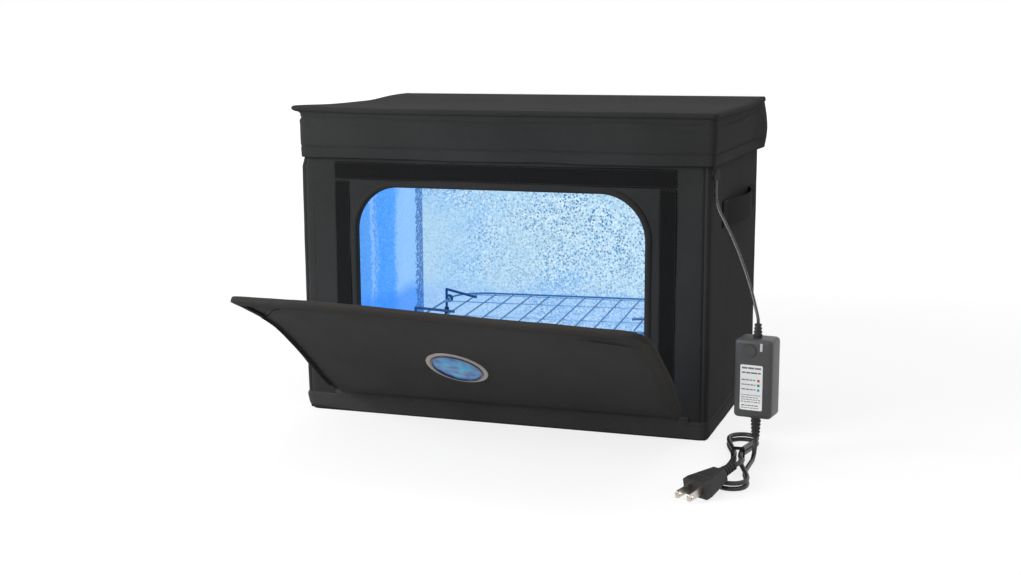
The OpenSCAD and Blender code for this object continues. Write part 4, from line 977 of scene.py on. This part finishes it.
def corner_drop(gap, radius):
    """How far a round corner falls away at a gap from the side."""
    gap = np.clip(gap, 0, radius)
    return radius - np.sqrt(radius ** 2 - (radius - gap) ** 2)


def flap_spot(u, v):
    """Across and along from the hinge, at shares of the flap's width and length."""
    rough = v * 0.228
    left = eased(rough, left_along, left_across)
    right = eased(rough, (0, 0.02, 0.11, 0.22), (0.180, 0.182, 0.188, 0.190))
    x = left + (right - left) * u
    top = eased(x, (-0.178, -0.100, -0.058, 0.0, 0.050), (0.228, 0.228, 0.2255, 0.2225, 0.220))
    top = top - corner_drop(right - x, 0.020) - corner_drop(x - left, 0.004)
    low = corner_drop(right - x, 0.012) + corner_drop(x - left, 0.026)
    return x, low + (top - low) * v


def tuck_along(across):
    """How far along the flap the cloth of its pointed corner is tucked under."""
    return eased(across, (-0.175, -0.162, -0.159, -0.1525, -0.146, -0.1405, -0.125),
                 (0.190, 0.1935, 0.194, 0.201, 0.210, 0.2145, 0.222), 0.002)


def on_flap(across, along, depth):
    """Point of the flap: across, along from its hinge, and out from its inner face."""
    twist = np.interp(across, (-0.178, -0.058, 0.024, 0.077, 0.116, 0.148, 0.177, 0.190),
                      (-0.0027, -0.0025, -0.0005, 0.0008, 0.0017, 0.0028, 0.0036, 0.0050))
    share = np.clip(np.asarray(along) / flap_l, 0, 1.1)
    d = np.asarray(depth + twist * share ** 1.5 - 0.0006 * np.sin(share * math.pi))[..., None]
    place = np.array([0, hinge_y, hinge_z]) + np.asarray(along)[..., None] * flap_along + d * flap_out
    place[..., 0] = across
    return place


flap_cloth, u, v = cloth_grid("flap_cloth", 250, 160)
u = 0.5 * u + 0.5 * soft_step(u)
px, ps = flap_spot(u, v)
edge_near = np.minimum(np.minimum(u, 1 - u) * 0.35, (1 - v) * 0.22)
swell = soft_step(edge_near / 0.020)
d = 0.0041 + 0.0009 * swell + 0.0004 * swell * puckers(px / 0.36, ps / 0.22, 81, fastest=6)
# Near the pointed corner the cloth is tucked under along a curved line, with a full fold below it
past_tuck, cornerward = ps - tuck_along(px), soft_step((-0.118 - px) / 0.006)
d -= 0.0013 * soft_step(past_tuck / 0.0022) * cornerward
d += 0.0004 * np.exp(-((past_tuck + 0.001) / 0.0016) ** 2) * cornerward
d += 0.0012 * np.exp(-((px + 0.130) / 0.013) ** 2 - ((ps - 0.200) / 0.011) ** 2)
d = 0.0007 + (d - 0.0007) * soft_step(ps / 0.014)
lay_points(flap_cloth, on_flap(px, ps, d))
# The flap's cloth is given a lighter colour than the cover's: painted light on its downward face
finish_piece(flap_cloth, cloth_material("flap_polyester_painted_light", (0.053, 0.053, 0.053), cloudiness=0.8),
             "flap", "weave", "flap_cover", "flap_board")

flap_foil, u, v = cloth_grid("flap_foil", 130, 90)
px, ps = flap_spot(0.98 - 0.96 * u, 0.03 + 0.94 * v)
d = 0.0001 - 0.0004 * near_edge(u, 0.1) * near_edge(v, 0.1) * (1 + puckers(u, v, 82))
lay_points(flap_foil, on_flap(px, ps, d))
finish_piece(flap_foil, pebbled_foil_painted_glow, "flap", "foil", "flap_lining")


def round_flap(q):
    """Shares of width and length on the edge: up the right side, along the top, down the left."""
    q = q * 3
    u = np.clip(2 - q, 0, 1)
    v = np.where(q < 1, 0.04 + 0.96 * q, np.where(q > 2, 1 - 0.96 * (q - 2), 1.0))
    return u, v


edge_tape, q, w = cloth_grid("flap_edge_tape", 480, 26)
tape_section = ((1.00, -0.0002), (0.95, -0.0007), (0.50, -0.0008), (0.15, -0.0005), (0.01, 0.0006),
                (0.00, 0.0022), (0.03, 0.0040), (0.15, 0.0051), (0.50, 0.0056), (0.90, 0.0057),
                (0.97, 0.0054), (1.00, 0.0046))
inset, deep = along_section(tape_section, w)
u, v = round_flap(q)
u = np.clip(u, inset * 0.018, 1 - inset * 0.034)
v = np.minimum(v, 1 - inset * 0.039)
px, ps = flap_spot(u, v)
# Along the upper right the tape stands off the cloth in a narrow gap
gape = np.exp(-((px - 0.148) / 0.020) ** 2) * (ps > 0.185) * soft_step(w * (len(tape_section) - 1) - 9)
deep = deep + 0.0013 * gape + 0.00018 * puckers(q * 14, w, 83)
lay_points(edge_tape, on_flap(px, ps, deep))
finish_piece(edge_tape, cloth_material("edge_tape", (0.050, 0.048, 0.046), threads=1000, relief=0.7),
             "flap", "weave_dark", "flap_binding")
u, v = round_flap(np.linspace(0, 1, 500))
px, ps = flap_spot(np.clip(u, 0.015, 0.970), np.minimum(v, 0.966))
foot_x = np.linspace(-0.150, 0.173, 60)
sew("flap_stitches", "flap", [
    (on_flap(px, ps, np.full_like(px, 0.0057)), tuple(flap_out)),
    (on_flap(px, ps, np.full_like(px, -0.0008)), tuple(-flap_out)),
    (on_flap(foot_x, np.full_like(foot_x, 0.0155), np.full_like(foot_x, 0.0044)), tuple(flap_out))])

# A strip of black tape down inside the left edge: painted shade of a doubled fold
fold_shade, q, w = cloth_grid("flap_left_fold", 150, 8)
jag = 0.0016 * puckers(q * 5, 0 * q, 84, fastest=4) * (w > 0.8)
u = 0.006 + w * (0.013 + jag * 2)
v = 0.055 + 0.80 * (1 - q) ** 0.9
px, ps = flap_spot(u, v)
lay_points(fold_shade, on_flap(px, ps + 0.010 * w * (v < 0.12), 0.0059 + 0.0006 * np.sin(w * math.pi)))
finish_piece(fold_shade, fuzz_black, "flap", "weave_dark")
# A thin black cord along the tuck line: painted shade in the tuck
tuck_x = np.linspace(-0.1615, -0.126, 24)
tuck_shade_line = round_cord("flap_tuck", on_flap(tuck_x, tuck_along(tuck_x), np.full_like(tuck_x, 0.0048)), 0.0005)
finish_piece(tuck_shade_line, fuzz_black, "flap", "weave_dark")
# A thin black lens laid in the tape's gap at the upper right: painted shade
gap_shade, q, w = cloth_grid("flap_tape_gap", 40, 4)
px = 0.128 + 0.048 * q
ps = np.interp(px, (0.128, 0.150, 0.165, 0.176), (0.2065, 0.2035, 0.2010, 0.1965))
ps -= w * 0.0022 * np.sin(q * math.pi) ** 0.7
lay_points(gap_shade, on_flap(px, ps, np.full_like(px, 0.0064)))
finish_piece(gap_shade, fuzz_black, "flap", "weave_dark")

hook_edge = 0.0014
for name, x0, x1, s0, s1, cad in (
        ("hook_tape_top", -0.160, 0.168, 0.2092, 0.2160, ("hook_strips",)),
        ("hook_tape_left", -0.1605, -0.1530, 0.028, 0.2072, ()),
        ("hook_tape_right", 0.155, 0.168, 0.028, 0.2072, ())):
    tape, u, v = cloth_grid(name, max(12, int((x1 - x0) * 500)), max(12, int((s1 - s0) * 500)))
    chance = np.random.default_rng(len(name))
    full = near_edge(u, hook_edge / (x1 - x0)) * near_edge(v, hook_edge / (s1 - s0))
    rise = 0.0003 + full * (0.0008 + 0.00015 * chance.standard_normal(len(u)))
    lay_points(tape, on_flap(x1 - u * (x1 - x0), s0 + v * (s1 - s0), -rise))
    finish_piece(tape, fuzz_black, "flap", "hook_loop", *cad)

flap_hinge, u, v = cloth_grid("flap_hinge_cloth", 160, 24)
y, z = along_section(((-0.1266, 0.0120), (-0.1272, 0.0146), (-0.1278, 0.0172), (-0.1282, 0.0194),
                      (-0.1290, 0.0208), (-0.1304, 0.0213), (-0.1326, 0.0220), (-0.1350, 0.0233)), v)
sunk = 0.0002 * puckers(u * 5, v, 85)
lay_points(flap_hinge, np.stack([-0.166 + u * 0.338, y - sunk, z - sunk], 1))
flap_hinge.data.materials.append(foot_cloth_painted_light)
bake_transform(flap_hinge)

# Badge
# Satin metal rim round a glossy blue film, stuck on the flap. The film is left plain.


def plain_material(name, colour, roughness, metallic=0.0, grain=600, relief=0.15, spread=0.25):
    """Moulded, coated or bare finish: fine grain, small colour changes and uneven gloss."""
    made, tree, skin = new_material(name)
    place = tree.nodes.new("ShaderNodeTexCoord")
    fine, wide = noise(tree, place, grain, detail=3), noise(tree, place, 30)
    tone = maths(tree, "MULTIPLY_ADD", maths(tree, "SUBTRACT", wide, 0.5), spread, 1.0)
    feed(tree, skin, {
        "Base Color": toned(tree, colour, tone), "Metallic": metallic,
        "Roughness": maths(tree, "MULTIPLY_ADD", fine, 0.2, roughness - 0.1),
        "Normal": bumped(tree, fine, 0.0002, relief)})
    return made


badge_x, badge_s, badge_a, badge_b = -0.009, 0.103, 0.028, 0.035
bpy.ops.object.select_all(action="DESELECT")
bpy.ops.mesh.primitive_torus_add(major_segments=96, minor_segments=16, major_radius=1, minor_radius=0.2)
rim = bpy.context.object
rim.name = "badge_ring"
co = np.array([c.co for c in rim.data.vertices])
angle = np.arctan2(co[:, 1], co[:, 0])
off, lift = (np.hypot(co[:, 0], co[:, 1]) - 1) * 0.0125, co[:, 2] * 0.0055
mid_a, mid_b = badge_a - 0.0025, badge_b - 0.0025
grow = np.stack([mid_b * np.cos(angle), mid_a * np.sin(angle)], 1)
grow /= np.linalg.norm(grow, axis=1)[:, None]
lay_points(rim, on_flap(badge_x + mid_a * np.cos(angle) + off * grow[:, 0],
                        badge_s + mid_b * np.sin(angle) + off * grow[:, 1], 0.0052 + lift))
rim.data.flip_normals()
satin, tree, skin = new_material("satin_metal")
brushed = noise(tree, tree.nodes.new("ShaderNodeTexCoord"), 900)
feed(tree, skin, {"Base Color": (0.30, 0.27, 0.25, 1), "Metallic": 0.8,
                  "Roughness": maths(tree, "MULTIPLY_ADD", brushed, 0.3, 0.3)})
finish_piece(rim, satin, "flap", "badge_metal", "badge_rim")

bpy.ops.object.select_all(action="DESELECT")
bpy.ops.mesh.primitive_circle_add(vertices=96, radius=1, fill_type="NGON")
film = bpy.context.object
film.name = "badge_blue_film"
bpy.ops.object.mode_set(mode="EDIT")
bpy.ops.mesh.select_all(action="SELECT")
for _ in range(7):
    bpy.ops.mesh.inset(thickness=0.13, depth=0)
bpy.ops.object.mode_set(mode="OBJECT")
co = np.array([c.co for c in film.data.vertices])
r = np.hypot(co[:, 0], co[:, 1])
lay_points(film, on_flap(badge_x + (badge_a - 0.0045) * co[:, 0], badge_s + (badge_b - 0.0045) * co[:, 1],
                         0.0056 + 0.0010 * (1 - r ** 2)))
glassy, tree, skin = new_material("blue_film")
patch = noise(tree, tree.nodes.new("ShaderNodeTexCoord"), 85)
blues = colour_ramp(tree, patch, (
    (0.3, (0.006, 0.075, 0.36)), (0.5, (0.045, 0.22, 0.56)), (0.72, (0.03, 0.46, 0.68))))
# The film glows faintly in its own blues: painted light, though it is no lamp
feed(tree, skin, {"Base Color": blues, "Emission Color": blues, "Emission Strength": 0.15,
                  "Roughness": 0.25, "Specular IOR Level": 0.15})
finish_piece(film, glassy, "flap", "badge_film", "badge_film")
turn = np.linspace(0, 2 * math.pi, 97)
border_line = on_flap(badge_x + 0.0226 * np.cos(turn), badge_s + 0.0296 * np.sin(turn),
                      np.full_like(turn, 0.0060))
border = round_cord("badge_border", border_line, 0.0011)
navy = plain_material("navy_border", (0.006, 0.008, 0.035), 0.3)
finish_piece(border, navy, "flap", "badge_film")

# Each of the flap's pieces gets a mesh of its own
for name in ("flap_cloth", "flap_foil", "flap_edge_tape", "flap_stitches", "flap_left_fold", "flap_tuck",
             "flap_tape_gap", "hook_tape_top", "hook_tape_left", "hook_tape_right", "badge_ring",
             "badge_blue_film", "badge_border"):
    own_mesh(bpy.data.objects[name])

# Wire rack
# Coated steel wire, welded into a grid, with two folding legs and their rubber sleeves.


coated_wire = plain_material("coated_wire", (0.020, 0.105, 0.24), 0.35, metallic=0.2)
rack_wire = plain_material("rack_wire", (0.055, 0.22, 0.38), 0.35, metallic=0.2)
painted_light_wire = plain_material("painted_light_wire", (0.36, 0.60, 0.76), 0.35, metallic=0.1)
black_rubber = plain_material("black_rubber", (0.012, 0.012, 0.013), 0.6)
rack_x, rack_y, rack_z, rack_turn = 0.009, 0.010, 0.085, math.radians(5)


def rack_line(points):
    """Points of the rack, in its own frame, as points of the scene."""
    x, y, z = np.array(points, float).T
    return np.stack([rack_x + x * math.cos(rack_turn) - y * math.sin(rack_turn),
                     rack_y + x * math.sin(rack_turn) + y * math.cos(rack_turn), rack_z + z], 1)


x, y = round_rect_line(0.126, 0.095, 0.036, np.linspace(0, 1, 181))[:2]
wires = [round_cord("rack_rim", rack_line(np.stack([x, y, 0 * x], 1)), 0.0010)]
for across in (-0.0825, -0.038, 0.038, 0.0825):
    end = 0.1169 if abs(across) > 0.08 else 0.126
    rail = round_cord("rack_rail", rack_line([(-end, across, 0.0002), (end, across, 0.0002)]), 0.0006)
    # Three rails take a much lighter copy of the wire: painted light, so they fade into the glowing foil
    # behind
    if across != -0.0825:
        finish_piece(rail, painted_light_wire, "rack", "wire")
    else:
        wires.append(rail)
for k in range(-5, 6):
    end = 0.0838 if abs(k) < 5 else 0.0820
    bar_line = rack_line([(k * 0.020, -end, 0.0015), (k * 0.020, end, 0.0015)])
    wires.append(round_cord("rack_bar", bar_line, 0.0008))
select_only(wires[0])
for wire in wires:
    wire.select_set(True)
bpy.ops.object.join()
wires[0].name = "rack_wires"
finish_piece(wires[0], rack_wire, "rack", "wire", "rack_grid")
for name in ("leg_left", "leg_right"):
    finish_node(name, coated_wire)
for name in ("leg_sleeves_left", "leg_sleeves_right"):
    finish_node(name, black_rubber)
finish_node("cable_grommet", plain_material("soft_rubber", (0.028, 0.028, 0.028), 0.85))

# Lamp
# Quartz ultraviolet tube in two holders, with a bright reflector and its driver.
finish_node("lamp_channel", plain_material("reflector_sheet", (0.7, 0.75, 0.82), 0.25, metallic=1.0))
lamp_white = plain_material("lamp_plastic", (0.55, 0.62, 0.75), 0.45)
for name in ("lamp_holders", "lamp_caps", "lamp_driver"):
    finish_node(name, lamp_white)
lamp_lead = round_cord("lamp_lead", smooth_line(
    [(157, 113.3, 247), (170, 113.3, 247), (182, 113.3, 247), (188, 112.8, 247), (192.4, 109.8, 247),
     (194, 105, 247), (194.1, 90, 246.8), (194.1, 50, 246.2), (194.1, 0, 246), (194.1, -50, 246.3),
     (194.1, -90, 246.8), (194.1, -108, 247), (194.4, -113.5, 247), (195.6, -116.4, 247),
     (197, -117, 247)], 6), 0.0013)
finish_piece(lamp_lead, lamp_white, "body", "jacket", "inner_lead")
tube_glow, tree, skin = new_material("lit_quartz")
gas = noise(tree, tree.nodes.new("ShaderNodeTexCoord"), 60)
light = colour_ramp(tree, gas, ((0.0, (0.30, 0.60, 1.0)), (1.0, (0.70, 0.88, 1.0))))
feed(tree, skin, {"Emission Color": light, "Emission Strength": 6, "Base Color": (0.7, 0.85, 1, 1),
                  "Roughness": 0.1})
finish_node("lamp_tube", tube_glow)

# Adapter and timer
# Two-part moulded case with a fine spark grain, a round timer key, a light pipe and a white
# label printed with plain rows.
case_plastic = plain_material("case_plastic", (0.045, 0.045, 0.047), 0.42, grain=2500, relief=0.35)
key_plastic = plain_material("key_plastic", (0.040, 0.040, 0.042), 0.38, grain=2500, relief=0.2)
relief_rubber = plain_material("relief_rubber", (0.009, 0.009, 0.0095), 0.6)
finish_node("timer_button", key_plastic)
for name in ("lead_relief", "mains_relief", "plug_body"):
    finish_node(name, relief_rubber)
finish_node("adapter_board", plain_material("circuit_board", (0.02, 0.16, 0.06), 0.5))
label_white = plain_material("label_film", (0.90, 0.91, 0.92), 0.4, relief=0.05, spread=0.08)
finish_node("timer_label", label_white)
pipe_glow = plain_material("light_pipe_glow", (0.45, 0.47, 0.5), 0.3)
feed(pipe_glow.node_tree, pipe_glow.node_tree.nodes["Principled BSDF"],
     {"Emission Color": (0.8, 0.85, 0.9, 1), "Emission Strength": 0.10})
finish_node("light_pipe", pipe_glow)

case_x, case_y, case_foot, case_turn = 0.2515, -0.165, 0.039, math.radians(-8)
case_w, case_d, case_h = 0.034, 0.026, 0.070
case_across = np.array([math.cos(case_turn), math.sin(case_turn), 0])
case_in = np.array([-math.sin(case_turn), math.cos(case_turn), 0])


def on_case(a, b, out):
    """Point on the case's front, a across, b above its foot, out proud of its face."""
    return np.array([case_x, case_y, case_foot + b]) + a * case_across - (case_d / 2 + out) * case_in


def cut_case(piece, shape, centre, size, turn=(0, 0, 0)):
    """Cuts a round or square hole in the case."""
    if shape == "round":
        bpy.ops.mesh.primitive_cylinder_add(vertices=48, radius=size[0], depth=size[1],
                                            location=centre, rotation=turn)
    else:
        bpy.ops.mesh.primitive_cube_add(size=1, location=centre, scale=size, rotation=turn)
    cut_away(piece, bpy.context.object)


bpy.ops.mesh.primitive_cube_add(size=1, location=(case_x, case_y, case_foot + case_h / 2),
                                scale=(case_w, case_d, case_h), rotation=(0, 0, case_turn))
case = bpy.context.object
case.name = "timer_case"
bpy.ops.object.transform_apply(location=True, rotation=True, scale=True)
rounding = case.modifiers.new("rounding", "BEVEL")
rounding.width = 0.0038
rounding.segments = 6
apply_modifiers(case)
thicken(case, 0.0018)
cut_case(case, "round", on_case(-0.0027, 0.060, -0.001), (0.0056, 0.006), (math.radians(90), 0, case_turn))
cut_case(case, "square", on_case(0.0072, 0.0636, -0.001), (0.0022, 0.006, 0.0070), (0, 0, case_turn))
cut_case(case, "round", (case_x, case_y, case_foot + case_h), (0.0034, 0.006))
cut_case(case, "round", (case_x, case_y, case_foot), (0.0042, 0.006))
select_only(case)
bpy.ops.object.shade_smooth_by_angle(angle=math.radians(35))
finish_piece(case, case_plastic, "body", "case", "adapter_front", "adapter_back")


def print_marks(name, marks, material):
    """Flat printed marks on the label, each a rectangle from a0, b0 to a1, b1."""
    points, faces = [], []
    for a0, b0, a1, b1 in marks:
        start = len(points)
        points += [on_case(a, b, 0.00033) for a, b in ((a0, b0), (a1, b0), (a1, b1), (a0, b1))]
        faces.append([start, start + 1, start + 2, start + 3])
    mesh = bpy.data.meshes.new(name)
    mesh.from_pydata([tuple(p) for p in points], [], faces)
    piece = bpy.data.objects.new(name, mesh)
    bpy.context.scene.collection.objects.link(piece)
    mesh.materials.append(material)
    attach(piece, "body")


ink = plain_material("label_ink", (0.16, 0.16, 0.17), 0.5)
chance = np.random.default_rng(7)
marks = []
for top_b, tall, count in ((0.0440, 0.0016, 1), (0.0400, 0.0014, 1), (0.0338, 0.0010, 3), (0.0296, 0.0010, 3),
                           (0.0254, 0.0010, 3), (0.0205, 0.0007, 4), (0.0185, 0.0007, 4), (0.0165, 0.0007, 4),
                           (0.0145, 0.0007, 3), (0.0112, 0.0009, 2), (0.0092, 0.0006, 3)):
    a = -0.0095
    right = 0.0030 if count == 3 and tall == 0.0010 else 0.0075
    while a < right - 0.0015:
        wide = chance.uniform(0.0014, 0.0034) * (1.8 if tall > 0.0012 else 1)
        marks.append((a, top_b, min(a + wide, right), top_b + tall))
        a += wide + 0.0006
print_marks("label_rows", marks, ink)
for name, b, colour in (
        ("red_mark", 0.0341, (0.6, 0.02, 0.02)), ("green_mark", 0.0299, (0.02, 0.30, 0.08)),
        ("cyan_mark", 0.0257, (0.02, 0.35, 0.45))):
    print_marks(name, [(0.0044, b - 0.0011, 0.0066, b + 0.0011)], plain_material(name + "_ink", colour, 0.4))

# Cord tie
# A flat soft strap wound once round the hank's waist, with its end laid over itself.
tie, u, v = cloth_grid("hank_tie", 90, 8)
turn = u * 2 * math.pi * 1.12 + 0.6
tie_w, tie_h = 0.0108, 0.0147
wide = 0.5 * tie_w * np.sign(np.cos(turn)) * np.abs(np.cos(turn)) ** 0.35
high = 0.5 * tie_h * np.sign(np.sin(turn)) * np.abs(np.sin(turn)) ** 0.5
wide *= 1 + 0.10 * u
over = (v - 0.5) * 0.008
lay_points(tie, np.stack([
    hank_x / 1000 + wide * math.cos(hank_turn) + over * math.sin(hank_turn),
    hank_y / 1000 + wide * math.sin(hank_turn) - over * math.cos(hank_turn),
    0.0078 + high * (1 + 0.06 * u)], 1))
thicken(tie, 0.0007)
finish_piece(tie, fuzz_black, "body", "hook_loop", "cord_tie")

# Plug blades and cord jackets
# Nickel-plated blades, and a soft black jacket on both cords.
finish_node("plug_blades", plain_material("nickel_plate", (0.62, 0.56, 0.50), 0.3, metallic=1.0))
jacket = plain_material("cord_jacket", (0.016, 0.016, 0.017), 0.42)
mains.data.materials.append(jacket)
lead.data.materials.append(plain_material("lead_jacket", (0.036, 0.036, 0.037), 0.28))

low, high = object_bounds()
